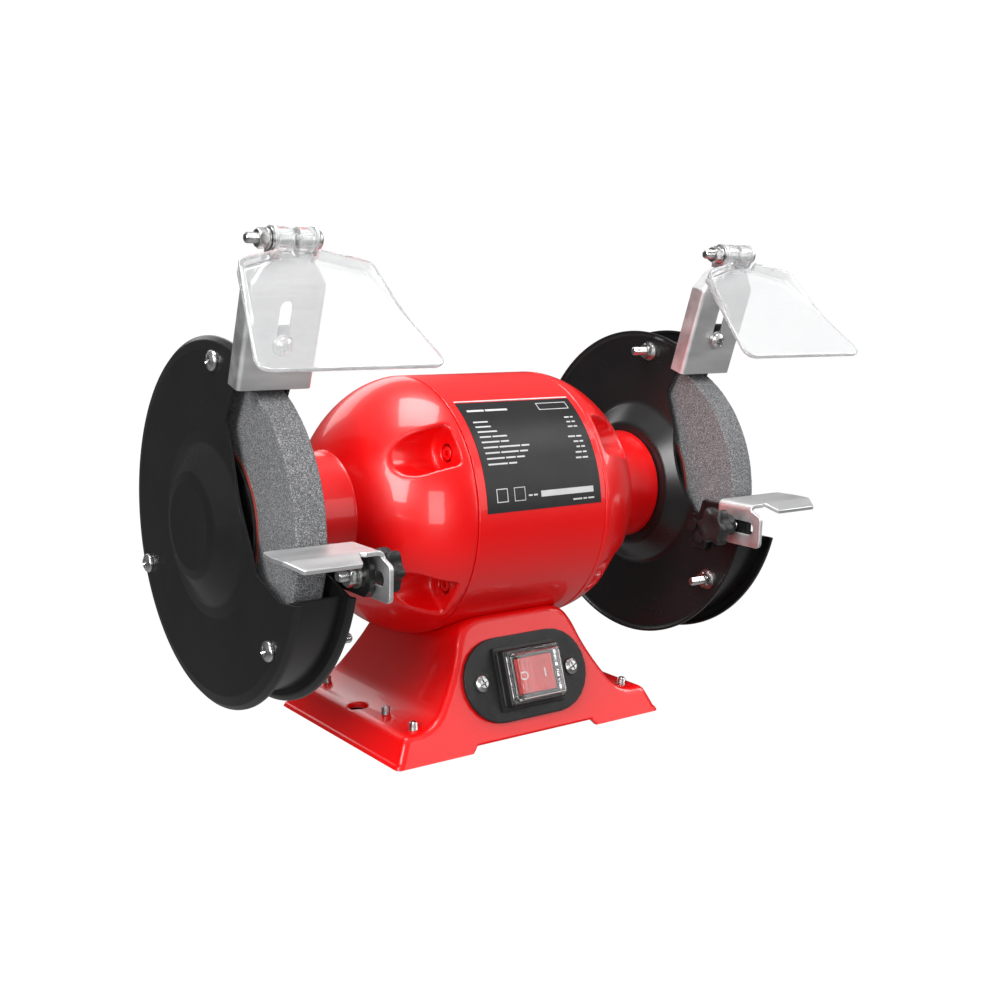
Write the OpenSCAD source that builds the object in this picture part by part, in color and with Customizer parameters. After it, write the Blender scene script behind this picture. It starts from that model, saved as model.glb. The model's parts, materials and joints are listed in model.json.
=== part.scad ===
// Bench grinder: one motor, two 150 mm wheels in sheet-metal guards, on a hollow foot.
// Millimetres. X runs along the shaft, the operator stands at -Y, Z is up, and z = 0 is the bench.
// The right-hand side (+X) is drawn; the left-hand side mirrors it, except for the eye shields,
// which are the same part on both sides.

/* [Shaft and wheels] */
// Height of the shaft above the bench
shaft_h = 117.7; // [117:0.1:119]
// Diameter of each grinding wheel
wheel_d = 150; // [140:1:151]
// Thickness of each grinding wheel
wheel_t = 16; // [13:0.5:16]
// Distance from the middle of the grinder to the inner face of a wheel
wheel_x = 130.2; // [130:0.1:131]
// Diameter of the wheel seat on the shaft
bore_d = 12.7; // [12:0.1:13]

/* [Motor] */
// Diameter of the motor shell
shell_d = 136.8; // [136:0.1:137]
// Half the length of the motor shell
shell_half = 41.2; // [40.5:0.1:41.2]
// Diameter of the neck of each end bell
neck_d = 63; // [60:0.5:64]

/* [Guards] */
// Diameter of the guard discs
guard_d = 181; // [180:0.5:182]
// Distance from the middle to the outer face of a guard cover
guard_x = 154; // [154:0.1:155]
// Outer diameter of the band round each wheel
band_d = 168; // [167:0.5:169]
// Thickness of the guard sheet
sheet_t = 1.5; // [1.2:0.1:1.6]

/* [Base] */
// Length of the base along the shaft
base_l = 174.6; // [172:0.1:178]
// Distance of the front edge of the base from the shaft
base_front = 68.3; // [67:0.1:70]
// Distance of the back edge of the base from the shaft
base_back = 51.6; // [50:0.1:54]
// Height of the two feet
foot_h = 14.5; // [14:0.1:15]
// Wall of the base casting
base_wall = 3; // [2.6:0.1:3.2]
// Slope of the front and back faces, from upright
face_tilt = 20; // [18:0.5:21]
// Distance between the two mounting holes
mount_pitch = 147; // [144:0.5:148]
// Diameter of the mounting holes
mount_d = 10; // [8:0.5:10]

/* [Eye shields] */
// Distance of the left shield's centre from the middle
left_shield_x = 140; // [139.5:0.1:140.5]
// Distance of the right shield's centre from the middle
right_shield_x = 136.4; // [136.4:0.1:137]
// Forward lean of the spark brackets
bracket_lean = 17; // [16.5:0.5:17.5]
// Width of the spark brackets
bracket_w = 38; // [37:0.5:38.5]
// Width of a shield pane at its shoulders and at its bottom edge
pane_w = [62.4, 92];
// Length of a shield pane from its hinge to its bottom edge
pane_l = 76.2; // [70:0.1:77]
// Thickness of a shield pane
pane_t = 2.2; // [2:0.1:2.3]

/* [Tool rests] */
// Height of the top of the tool rests
rest_z = 119.5; // [119:0.1:120]
// Distance of the rear edge of the rests from the shaft
rest_y = 77.3; // [77:0.1:79]
// Height of the clamping studs
stud_z = 106.5; // [106:0.1:107]
// Distance of the clamping studs from the shaft
stud_y = 86; // [85.5:0.1:86.5]

/* [Switch] */
// Sideways place of the switch
switch_x = -1; // [-3:0.5:3]
// Height of the switch on the front face
switch_z = 32; // [31:0.5:33]
// Length of the switch panel
panel_l = 80; // [78:1:82]
// Height of the switch panel
panel_h = 44; // [42:1:44]

/* [Hidden] */
$fn = 64;
gap = 0.2;
face_slope = tan(face_tilt);
wheel_r = wheel_d / 2;
wheel_out = wheel_x + wheel_t;
shell_r = shell_d / 2;
shell_wall = 3;
bell_x = 41.4;
neck_x = 90.5;
neck_end = 115;
neck_r = neck_d / 2;
guard_r = guard_d / 2;
band_r = band_d / 2;
inner_x = 124.8;
band_x = inner_x + sheet_t;
bolt_ring_r = 57;
bolt_ring_angles = [36, 144, 216, 324];
pocket_x = 46.7;
pocket_slope = 8.5;
bolt_seat_x = 43.2;
bearing_x = 98.6;
bearing_w = 11;
bearing_r = 17.5;
guard_screw_r = 79.6;
guard_screw_angles = [84, 204.5, -36.5];
neck_screw_r = 23.5;
neck_screw_angles = [30, 150, 270];
flange_r = 37.5;
flange_t = 3.5;
blotter_t = 0.5;
nut_h = 9;
shaft_end = 160.5;
foot_top_l = base_l - 14.6;
top_h = 63.5;
plate_z = 3.4;
plate_t = 2;
plate_screws = [[69.6, -55], [68.5, -27.4], [68, 34]];
plate_screw_r = 2.4;
saddle_screw_x = 30;
hinge_y = -60;
hinge_z = 252.7;
bracket_y = -43;
bracket_z = 185.5;
bracket_h = 49.2;
bracket_t = 1.5;
hinge_rise = 20.35;
slot_low = 18.6;
slot_high = 38;
clamp_z = 20.8;
arm_x = 119;
arm_t = 3;
rest_x = arm_x - gap - 2.5;
knob_l = 14.3;
pane_angle = 220.3;
pane_z = 3.1;
shoulder_y = 15.2;
rim_h = 5.2;
rim_l = 31.4;
rim_t = 2;
barrel_r = 5.5;
rock_angle = 10;
pivot_n = 5;

// Places and small shapes

// A point at radius r round the shaft, a degrees up from straight ahead
function ring_point(r, a) = [0, -r * cos(a), shaft_h + r * sin(a)];

// The outer radius of an end bell at distance x from the middle
function bell_r(x) = let (u = (x - bell_x) / (neck_x - bell_x))
    max(neck_r, 26 + (shell_r - 26) * pow(max(0, 1 - pow(u, 1.75)), 0.7));

// Half the width of the pedestal at height z
function waist(z) = 38 + 24 * pow(max(0, 1 - (z - foot_h) / (58 - foot_h)), 1.5);

// Points along an arc of radius r round c, from angle a0 to a1
function arc(c, r, a0, a1) = [for (i = [0 : 8]) let (a = a0 + (a1 - a0) * i / 8)
    c + r * [cos(a), sin(a)]];

module on_left() {
    mirror([1, 0, 0]) children();
}

// Z of the child becomes X, on the shaft line
module on_shaft() {
    translate([0, 0, shaft_h]) rotate([0, 90, 0]) children();
}

// Turns a profile of [radius, x] points round the shaft
module turned(points) {
    on_shaft() rotate_extrude($fn = 128) polygon(points);
}

// A rod along X from x0 to x1
module rod(x0, x1, r) {
    translate([x0, 0, 0]) rotate([0, 90, 0]) cylinder(h = x1 - x0, r = r);
}

// A hexagonal bar along X across corners 2 r
module hex_rod(x0, x1, r) {
    translate([x0, 0, 0]) rotate([0, 90, 0]) cylinder(h = x1 - x0, r = r, $fn = 6);
}

// A ring on the shaft line
module ring(x0, x1, r_in, r_out) {
    turned([[r_in, x0], [r_out, x0], [r_out, x1], [r_in, x1]]);
}

// A flat shape in Y and Z, from x0 to x1
module yz_plate(x0, x1) {
    translate([x0, 0, 0]) rotate([90, 0, 90]) linear_extrude(x1 - x0) children();
}

// A flat shape in X and Z, from y0 to y1
module xz_plate(y0, y1) {
    translate([0, y1, 0]) rotate([90, 0, 0]) linear_extrude(y1 - y0) children();
}

// A slot outline between two points, r is half its width
module slot_shape(p, q, r) {
    d = q - p;
    translate(p) circle(r);
    translate(q) circle(r);
    translate(p) rotate(atan2(d[1], d[0])) translate([0, -r]) square([norm(d), 2 * r]);
}

// A rectangle with round corners, centred
module soft_rect(l, w, r) {
    square([l - 2 * r, w], center = true);
    square([l, w - 2 * r], center = true);
    for (x = [-1, 1], y = [-1, 1]) translate([x * (l / 2 - r), y * (w / 2 - r)]) circle(r);
}

// A pan head with a cross recess, head towards +Z, its seat at z = 0
module pan_head(r, h) {
    difference() {
        intersection() {
            cylinder(h = h, r = r);
            translate([0, 0, h - 2.2 * r]) sphere(2.2 * r);
        }
        for (a = [0, 90]) rotate(a) translate([-0.6 * r, -0.45, h - 1.2]) cube([1.2 * r, 0.9, 2]);
    }
}

// Base

module base_block(inset) {
    l = base_l / 2 - 1.2 * inset;
    f = foot_top_l / 2 - 1.2 * inset;
    zs = [for (i = [0 : 8]) foot_h - inset + (58 - foot_h) * i / 8];
    low = inset > 0 ? -1 : 0;
    front = base_front - 1.15 * inset;
    back = base_back - 1.15 * inset;
    top = top_h - inset;
    side = concat([[l, low], [l, 0], [f, foot_h - inset]],
        [for (z = zs) [waist(z + inset) - 1.1 * inset, z]], [[28 - inset, top]]);
    other = [for (i = [len(side) - 1 : -1 : 0]) [-side[i][0], side[i][1]]];
    intersection() {
        xz_plate(-100, 100) polygon(concat(side, other));
        yz_plate(-100, 100) polygon([[-front, low], [-front, 0],
            [-front + face_slope * top, top], [back - face_slope * top, top],
            [back, 0], [back, low]]);
    }
}

// The frame of the sloping front face: X along it, Y up it, Z out of it
module on_front_face(x, z) {
    translate([x, -base_front + face_slope * z, z]) rotate([90 - face_tilt, 0, 0]) children();
}

module on_back_face(x, z) {
    translate([x, base_back - face_slope * z, z]) rotate([face_tilt - 90, 0, 0]) children();
}

module base() {
    color("red") difference() {
        base_block(0);
        difference() {
            base_block(base_wall);
            translate([-100, 0, shaft_h]) rod(0, 200, shell_r + base_wall + gap);
        }
        translate([-100, 0, shaft_h]) rod(0, 200, shell_r + 0.05);
        for (x = [-1, 1]) {
            translate([x * mount_pitch / 2, (base_back - base_front) / 2, 0])
                cylinder(h = foot_h + 1, r = mount_d / 2);
            for (p = plate_screws) translate([x * p[0], p[1], 0])
                cylinder(h = foot_h + 1, r = plate_screw_r + 0.05);
            translate([x * saddle_screw_x, 0, 40]) cylinder(h = 12, r = 2.75);
            on_front_face(switch_x + x * 29.5, switch_z) translate([0, 0, -6])
                cylinder(h = 8, r = 2.05);
        }
        on_front_face(switch_x, switch_z) translate([-15, -13.5, -8]) cube([30, 27, 12]);
        on_back_face(-28, 24) translate([0, 0, -8]) cylinder(h = 12, r = 6.2);
        xz_plate(-100, 0) polygon([[-41, -1], [-38, 3.4], [38, 3.4], [41, -1]]);
    }
}

module base_plate() {
    y0 = -base_front + 6;
    y1 = base_back - 6;
    color("dimgray") translate([0, 0, plate_z]) difference() {
        translate([-base_l / 2 + 7.5, y0, 0]) cube([base_l - 15, y1 - y0, plate_t]);
        for (x = [-1, 1]) {
            translate([x * mount_pitch / 2, (y0 + y1) / 2, -1]) cylinder(h = 4, r = 6);
            for (p = plate_screws) translate([x * p[0], p[1], -1])
                cylinder(h = 4, r = plate_screw_r + 0.2);
        }
        translate([-30.5, 12, -1]) cylinder(h = 4, r = 2.2);
    }
}

module base_plate_screws() {
    color("silver") for (x = [-1, 1], p = plate_screws) translate([x * p[0], p[1], 0]) {
        translate([0, 0, plate_z]) mirror([0, 0, 1]) pan_head(4.4, 2.4);
        translate([0, 0, plate_z]) cylinder(h = 15.5, r = plate_screw_r);
    }
}

module saddle_screws() {
    low = shaft_h - shell_r - base_wall - gap;
    color("silver") for (x = [-1, 1]) translate([x * saddle_screw_x, 0, low]) {
        mirror([0, 0, 1]) pan_head(4.6, 3);
        cylinder(h = 10, r = 2.5);
    }
}

module cable_gland() {
    color("black") on_back_face(-28, 24) {
        difference() {
            union() {
                translate([0, 0, -7]) cylinder(h = 7.5, r = 6);
                cylinder(h = 4, r = 10.4, $fn = 6);
                translate([0, 0, 4]) cylinder(h = 6, r = 8.4);
                translate([0, 0, 10]) cylinder(h = 3, r1 = 8.4, r2 = 5.6);
            }
            translate([0, 0, -8]) cylinder(h = 24, r = 3.6);
        }
        translate([0, 0, -base_wall - 3]) difference() {
            cylinder(h = 2.4, r = 9.4, $fn = 6);
            translate([0, 0, -1]) cylinder(h = 5, r = 6.05);
        }
    }
}

module capacitor() {
    color("whitesmoke") translate([0, 12, 21.6]) {
        rod(-29, 29, 15);
        for (y = [-5, 5]) translate([29, y - 0.4, -3]) cube([8, 0.8, 6]);
    }
}

module capacitor_clip() {
    color("gainsboro") translate([0, 12, 21.6]) difference() {
        union() {
            rod(-7, 7, 16.1);
            translate([-7, -20, -16.1]) cube([14, 40, 1.2]);
        }
        rod(-8, 8, 15.1);
        translate([-8, -12, -15]) cube([16, 24, 5]);
        for (y = [-17, 17]) translate([0, y, -18]) cylinder(h = 5, r = 1.6);
    }
}

module terminal_block() {
    color("ivory") translate([10, -24, plate_z + plate_t]) difference() {
        cube([38, 14, 12]);
        for (i = [0 : 3]) translate([5.5 + 9 * i, 7, 4]) cylinder(h = 10, r = 2.4);
        for (i = [0 : 3]) translate([5.5 + 9 * i, -1, 5]) rotate([-90, 0, 0])
            cylinder(h = 16, r = 1.6);
    }
}

// Motor

module motor_shell() {
    color("red") difference() {
        ring(-shell_half, shell_half, shell_r - shell_wall, shell_r);
        for (x = [-1, 1]) translate([x * saddle_screw_x, 0, 40]) cylinder(h = 20, r = 2.55);
    }
}

// A round-bottomed channel, open away from the shaft, its floor rising from its end wall
module pocket(x0, x1, r) {
    intersection() {
        translate([pocket_x, 0, 0]) rotate([0, 0, pocket_slope]) {
            rod(-20, 80, r);
            translate([-20, 0, -r]) cube([100, 40, 2 * r]);
        }
        translate([x0, -40, -40]) cube([x1 - x0, 80, 80]);
    }
}

// The place of a through-bolt in the end bells, Y pointing away from the shaft
module at_pocket(a) {
    translate(ring_point(bolt_ring_r, a)) rotate([180 - a, 0, 0]) children();
}

module right_end_bell() {
    steps = 22;
    xs = [for (i = [0 : steps]) bell_x + (neck_x - 4 - bell_x) * i / steps];
    outside = concat([[0, bell_x]], [for (x = xs) [bell_r(x), x]],
        [[neck_r, neck_x], [neck_r, neck_end - 0.8], [neck_r - 0.8, neck_end], [0, neck_end]]);
    inside = concat([[0, bell_x - 1], [61, bell_x - 1]],
        [for (i = [0 : 2 : steps - 2]) [bell_r(xs[i] + 4) - 3.6, xs[i]]],
        [[22, neck_x - 5], [22, bearing_x - 4], [0, bearing_x - 4]]);
    color("red") difference() {
        union() {
            difference() {
                turned(outside);
                difference() {
                    turned(inside);
                    for (a = bolt_ring_angles) at_pocket(a) pocket(bell_x - 2, neck_x, 14);
                }
            }
            ring(bell_x - 3, bell_x + 3, 62.3, shell_r - shell_wall - 0.05);
        }
        for (a = bolt_ring_angles) {
            at_pocket(a) pocket(pocket_x, neck_x + 10, 11);
            translate(ring_point(bolt_ring_r, a)) {
                rod(bell_x - 5, 50, 2.15);
                rod(bolt_seat_x, 50, 4.7);
            }
        }
        on_shaft() {
            translate([0, 0, bearing_x - 5]) cylinder(h = 16.4, r = bearing_r);
            cylinder(h = 200, r = 9);
        }
        for (a = neck_screw_angles) translate(ring_point(neck_screw_r, a)) rod(103, 120, 2.5);
    }
}

module left_end_bell() {
    on_left() right_end_bell();
}

module through_bolts() {
    color("silver") for (a = bolt_ring_angles) translate(ring_point(bolt_ring_r, a)) {
        rod(-bolt_seat_x, bolt_seat_x + 3.2, 2);
        difference() {
            rod(-bolt_seat_x - 3.2, -bolt_seat_x, 3.5);
            hex_rod(-pocket_x, -bolt_seat_x - 1.2, 1.75);
        }
    }
}

module through_bolt_nuts() {
    color("silver") for (a = bolt_ring_angles) translate(ring_point(bolt_ring_r, a)) difference() {
        hex_rod(bolt_seat_x, bolt_seat_x + 3.2, 4.04);
        rod(bolt_seat_x - 1, pocket_x, 2.05);
    }
}

module stator_core() {
    color("slategray") difference() {
        ring(-23, 23, 33.4, shell_r - shell_wall - 0.05);
        for (a = bolt_ring_angles) translate(ring_point(bolt_ring_r, a)) rod(-30, 30, 3.2);
        for (i = [0 : 23]) translate(ring_point(44, 15 * i)) rotate([15 * i, 0, 0])
            translate([-30, -7, -1.6]) cube([60, 14, 3.2]);
    }
}

module stator_windings() {
    color("peru") for (s = [-1, 1]) scale([s, 1, 1])
        turned([[37, 23.3], [50, 23.3], [53.5, 26], [53.5, 33], [50, 36], [40, 36], [37, 33]]);
}

module bearing_outer_rings() {
    color("lightgray") for (s = [0, 1]) mirror([s, 0, 0])
        ring(bearing_x, bearing_x + bearing_w, 14.6, bearing_r - 0.03);
}

module wave_washer() {
    color("silver") ring(bearing_x + bearing_w + 0.05, bearing_x + bearing_w + 0.35, 13.5, 17);
}

module rating_plate() {
    low = 4.4;
    high = 60.5;
    color("dimgray") on_shaft() rotate([0, 0, -90 - high])
        rotate_extrude(angle = high - low, $fn = 128)
        translate([shell_r, -36.3]) square([0.3, 73.8]);
}

// Rotating parts

module shaft() {
    h = bore_d / 2;
    side = [[9, 30], [8.5, 30], [8.5, bearing_x - 0.2], [7.5, bearing_x - 0.2], [7.5, 111],
        [7, 111], [7, wheel_x - blotter_t - flange_t - 0.2],
        [h, wheel_x - blotter_t - flange_t - 0.2], [h, wheel_out + 3.2],
        [h - 0.4, wheel_out + 3.4], [h - 0.4, shaft_end - 1], [h - 1.4, shaft_end]];
    other = [for (i = [len(side) - 1 : -1 : 0]) [side[i][0], -side[i][1]]];
    color("lightgray") turned(concat([[0, -shaft_end]], other, side, [[0, shaft_end]]));
}

module rotor_core() {
    color("slategray") turned([[9.02, -27], [31, -27], [31, -23], [33, -23], [33, 23], [31, 23],
        [31, 27], [9.02, 27]]);
}

module bearing_inner_rings() {
    color("lightgray") for (s = [0, 1]) mirror([s, 0, 0])
        ring(bearing_x, bearing_x + bearing_w, 7.52, 10.4);
}

module bearing_balls() {
    color("silver") for (s = [0, 1], i = [0 : 7]) mirror([s, 0, 0])
        translate([bearing_x + bearing_w / 2, 0, 0]) translate(ring_point(12.5, 45 * i))
        sphere(2, $fn = 24);
}

module inner_flanges() {
    x = wheel_x - blotter_t;
    color("dimgray") for (s = [0, 1]) mirror([s, 0, 0])
        turned([[bore_d / 2 + 0.02, x - flange_t], [24, x - flange_t], [flange_r, x - 1.6],
            [flange_r, x], [bore_d / 2 + 0.02, x]]);
}

module outer_flanges() {
    x = wheel_out + blotter_t;
    color("dimgray") for (s = [0, 1]) mirror([s, 0, 0])
        turned([[bore_d / 2 + 0.02, x], [flange_r, x], [flange_r, x + 1.6], [24, x + flange_t],
            [bore_d / 2 + 0.02, x + flange_t]]);
}

module wheel_blotters() {
    color("firebrick") for (s = [0, 1], x = [wheel_x - blotter_t, wheel_out]) mirror([s, 0, 0])
        ring(x, x + blotter_t, bore_d / 2 + 0.05, flange_r + 1.2);
}

module right_wheel() {
    color("gray") ring(wheel_x, wheel_out, bore_d / 2 + 0.05, wheel_r);
}

module left_wheel() {
    on_left() right_wheel();
}

module right_wheel_nut() {
    x = wheel_out + blotter_t + flange_t;
    color("silver") translate([0, 0, shaft_h]) difference() {
        hex_rod(x, x + nut_h, 10.9);
        rod(x - 1, x + nut_h + 1, bore_d / 2 - 0.37);
    }
}

module left_wheel_nut() {
    on_left() right_wheel_nut();
}

// Guards

// The part of a disc that is cut away in front of the wheel
module mouth(rear_top, rear_low, corner) {
    yz_plate(100, 180) polygon([rear_top + [-29.1, 51.7], rear_top, rear_low, corner,
        [-88, 95.6], [-130, 96.5], [-130, 240]]);
}

// A wedge round the shaft from angle a0 to a1, where the band is missing
module wedge(a0, a1) {
    yz_plate(100, 180) polygon([[0, shaft_h], [-200 * cos(a0), shaft_h + 200 * sin(a0)],
        [-300, shaft_h + 60], [-200 * cos(a1), shaft_h + 200 * sin(a1)]]);
}

// The frame of a spark bracket: Y runs back from its face, Z up it
module at_bracket(x) {
    translate([x, bracket_y, bracket_z]) rotate([bracket_lean, 0, 0]) children();
}

module inner_guard(screw_x) {
    t = sheet_t;
    g = guard_r;
    plate = [[14, neck_end], [36, neck_end], [48, inner_x], [g - 2.4, inner_x],
        [g - t, inner_x - 1], [g - t, inner_x - 1.9], [g, inner_x - 1.9],
        [g, inner_x - 0.2], [g - 0.8, inner_x + 0.9], [g - 2.4, band_x], [47.4, band_x],
        [35.4, neck_end + t], [14, neck_end + t]];
    color("#222222") difference() {
        union() {
            difference() {
                turned(plate);
                mouth([-23.5, 174], [-46, 114.5], [-50, 108.5]);
            }
            difference() {
                ring(band_x - 0.2, guard_x - t - 0.1, band_r - t, band_r);
                wedge(-15.5, 59.5);
            }
            at_bracket(0) translate([band_x + 0.6, bracket_t + gap, 2.8])
                cube([guard_x - band_x - 4.5, 2, 26.4]);
        }
        for (a = guard_screw_angles) translate(ring_point(guard_screw_r, a)) rod(120, 130, 2.6);
        for (a = neck_screw_angles) translate(ring_point(neck_screw_r, a)) rod(110, 120, 2.7);
        for (p = rivet_places()) translate([0, p[0], p[1]]) rod(120, 130, 2.05);
        at_bracket(screw_x) translate([0, -5, clamp_z]) rotate([-90, 0, 0])
            cylinder(h = 20, r = 2.6);
    }
}

function rivet_places() = [[-53.5, 101], [-59.5, 94.5]];

module right_inner_guard() {
    inner_guard(right_shield_x);
}

module left_inner_guard() {
    on_left() inner_guard(left_shield_x);
}

module right_guard_cover() {
    t = sheet_t;
    g = guard_r;
    x = guard_x;
    color("#222222") difference() {
        turned([[0, x + 9.4], [12, x + 10], [22, x + 10], [26, x + 8.6], [40, x + 1], [44, x],
            [g - 6.5, x], [g - 2, x - 0.9], [g, x - 2.6], [g, x - 4.6], [g - t, x - 4.6],
            [g - t, x - 3.2], [g - 2.8, x - 2.3], [g - 6.5, x - t], [43.6, x - t],
            [39, x - 0.6], [25, x + 7], [21.6, x + 8.5], [12, x + 8.5], [0, x + 7.9]]);
        mouth([-20, 169.5], [-49.5, 103], [-72.3, 94.7]);
        for (a = guard_screw_angles) translate(ring_point(guard_screw_r, a)) rod(150, 160, 2.6);
    }
}

module left_guard_cover() {
    on_left() right_guard_cover();
}

module guard_screws() {
    color("silver") for (s = [0, 1], a = guard_screw_angles) mirror([s, 0, 0])
        translate(ring_point(guard_screw_r, a)) {
            rod(inner_x - 13.3, guard_x, 2.4);
            translate([guard_x, 0, 0]) rotate([0, 90, 0]) pan_head(5, 3);
        }
}

module guard_nuts() {
    color("silver") for (s = [0, 1], a = guard_screw_angles) mirror([s, 0, 0])
        translate(ring_point(guard_screw_r, a)) difference() {
            union() {
                hex_rod(inner_x - 4.6, inner_x - 1, 4.7);
                rod(inner_x - 1.2, inner_x, 5.4);
            }
            rod(110, 130, 2.45);
        }
}

module neck_screws() {
    color("silver") for (s = [0, 1], a = neck_screw_angles) mirror([s, 0, 0])
        translate(ring_point(neck_screw_r, a)) {
            rod(103.5, neck_end + sheet_t, 2.45);
            translate([neck_end + sheet_t, 0, 0]) rotate([0, 90, 0]) pan_head(4.4, 2.8);
        }
}

// Tool rests

module right_rest_arm() {
    color("#1a1a1a") difference() {
        union() {
            yz_plate(inner_x - arm_t, inner_x) polygon([[-50, 107], [-66, 107], [-66, 88],
                [-54, 88], [-50, 92]]);
            yz_plate(arm_x, inner_x) polygon([[-61, 107], [-66, 107], [-66, 98], [-61, 98]]);
            yz_plate(arm_x, arm_x + arm_t) polygon([[-57, 105], [-60, 116.3], [-93, 116.3],
                [-97, 112], [-97, 101], [-93, 97], [-63.2, 97], [-61.5, 98.5]]);
        }
        for (p = rivet_places()) translate([0, p[0], p[1]]) rod(120, 130, 2.05);
        yz_plate(110, 130) slot_shape([-stud_y + 7, stud_z], [-stud_y, stud_z], 3.2);
    }
}

module left_rest_arm() {
    on_left() right_rest_arm();
}

module arm_rivets() {
    color("dimgray") for (s = [0, 1], p = rivet_places()) mirror([s, 0, 0])
        translate([0, p[0], p[1]]) {
            rod(inner_x - arm_t - 1.2, inner_x - arm_t, 3.6);
            rod(inner_x - arm_t, band_x, 2);
            rod(band_x, band_x + 1.2, 3.6);
        }
}

module right_tool_rest() {
    z0 = rest_z - 2;
    y0 = -rest_y;
    lip_y = -98.5;
    color("gainsboro") {
        difference() {
            union() {
                yz_plate(rest_x, rest_x + 2.5) polygon([[y0, rest_z - 1], [y0, 98], [y0 - 1.5, 96.5],
                    [-106, 96.5], [-108, 98.5], [-108, 115.5], [-106, 117.6], [-101, rest_z - 1]]);
                translate([0, 0, z0]) linear_extrude(2) polygon([[rest_x + 1, y0], [164, y0],
                    [166.5, -88], [165.5, lip_y], [129, lip_y], [126, -101], [rest_x + 1, -101]]);
                translate([0, y0, rest_z - 2.5]) rotate([90, 0, 0]) translate([rest_x + 2.5, 0, 0])
                    bend_corner(101 - rest_y);
                translate([0, lip_y + 0.3, z0]) rotate([20, 0, 0]) translate([0, -9.6, 0])
                    linear_extrude(2) polygon([[131, 0.6], [132, 0], [158.5, 0], [161, 1],
                        [165.5, 9.6], [129, 9.6]]);
            }
            yz_plate(110, 130) slot_shape([-99.5, stud_z], [-82.7, stud_z], 3.5);
        }
    }
}

// The rounded bend between the flange and the table of a tool rest, l long
module bend_corner(l) {
    linear_extrude(l) intersection() {
        circle(2.5);
        translate([-2.5, 0]) square(2.5);
    }
}

module left_tool_rest() {
    on_left() right_tool_rest();
}

module rest_nuts() {
    x = arm_x + arm_t;
    color("silver") for (s = [0, 1]) mirror([s, 0, 0]) translate([0, -stud_y, stud_z])
        difference() {
            union() {
                rod(x, x + 1.2, 6.4);
                hex_rod(x + 1.1, x + 5.6, 5.8);
            }
            rod(x - 1, x + 8, 3.06);
        }
}

module right_rest_knob() {
    x = rest_x - gap;
    color("#1a1a1a") translate([0, -stud_y, stud_z]) difference() {
        union() {
            rod(x - 7, x, 6.6);
            translate([x - knob_l, 0, 0]) rotate([0, 90, 0]) linear_extrude(8) {
                circle(8.4);
                for (i = [0 : 5]) rotate(60 * i) translate([7.6, 0]) circle(3.4);
            }
        }
        rod(x - knob_l + 3.3, x + 1, 3);
    }
}

module left_rest_knob() {
    on_left() right_rest_knob();
}

module right_rest_stud() {
    x = rest_x - gap;
    color("silver") translate([0, -stud_y, stud_z]) rod(x - knob_l + 3.3, arm_x + arm_t + 10, 2.99);
}

module left_rest_stud() {
    on_left() right_rest_stud();
}

// Spark brackets and eye shields

module bracket_screws() {
    color("silver") for (x = [-left_shield_x, right_shield_x]) at_bracket(x)
        translate([0, 0, clamp_z]) rotate([90, 0, 0]) {
            translate([0, 0, 1.3]) pan_head(4.4, 3);
            difference() {
                translate([0, 0, gap]) cylinder(h = 1.1, r = 5.2);
                translate([0, 0, -1]) cylinder(h = 5, r = 2.55);
            }
            translate([0, 0, -10]) cylinder(h = 11.4, r = 2.5);
        }
}

module bracket_nuts() {
    color("silver") for (x = [-left_shield_x, right_shield_x]) at_bracket(x)
        translate([0, bracket_t + gap + 2, clamp_z]) rotate([-90, 0, 0]) difference() {
            cylinder(h = 4, r = 4.6, $fn = 6);
            translate([0, 0, -1]) cylinder(h = 6, r = 2.55);
        }
}

// The frame of a bracket's narrow top, tilted less than the bracket itself
module at_top(x) {
    translate([x, bracket_y - bracket_h * sin(bracket_lean),
        bracket_z + bracket_h * cos(bracket_lean)]) rotate([7, 0, 0]) children();
}

module spark_bracket(x) {
    w = bracket_w / 2;
    t = bracket_t;
    ear = 9.3;
    color("gainsboro") difference() {
        union() {
            at_bracket(x) {
                translate([-w, 0, 0]) cube([2 * w, t, bracket_h]);
                for (s = [-w, w - t]) translate([s, 0, 0]) cube([t, 9.8, bracket_h]);
            }
            at_top(x) {
                translate([0, t, 0]) rotate([90, 0, 0]) linear_extrude(t)
                    polygon([[-w, -0.4], [w, -0.4], [ear + t, 13], [-ear - t, 13]]);
                for (s = [0, 1]) mirror([s, 0, 0]) {
                    translate([0, 8, 0]) rotate([90, 0, 0]) linear_extrude(8)
                        polygon([[w - t, -0.4], [w, -0.4], [ear + t, 13], [ear, 13]]);
                    translate([ear, 0, 12]) cube([t, 6, 8.35]);
                    translate([ear, 0, hinge_rise]) rod(0, t, 6);
                }
            }
        }
        at_bracket(x) rotate([90, 0, 0]) translate([0, 0, -5]) linear_extrude(10)
            slot_shape([0, slot_low], [0, slot_high], 3.1);
        translate([x, hinge_y, hinge_z]) rod(-30, 30, 2.7);
    }
}

module left_spark_bracket() {
    spark_bracket(-left_shield_x);
}

module right_spark_bracket() {
    spark_bracket(right_shield_x);
}

module hinge_bolt(x) {
    color("silver") translate([x, hinge_y, hinge_z]) {
        rod(-23, 11, 2.5);
        translate([10.9, 0, 0]) rotate([0, 90, 0]) pan_head(4.6, 3.2);
        for (p = [[-11.9, 5.2], [-13.3, 4.4]]) difference() {
            rod(p[0], p[0] + 1, p[1]);
            rod(-20, 0, 2.55);
        }
        difference() {
            hex_rod(-17.5, -13.4, 4.6);
            rod(-20, 0, 2.55);
        }
    }
}

module left_hinge_bolt() {
    hinge_bolt(-left_shield_x);
}

module right_hinge_bolt() {
    hinge_bolt(right_shield_x);
}

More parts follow.
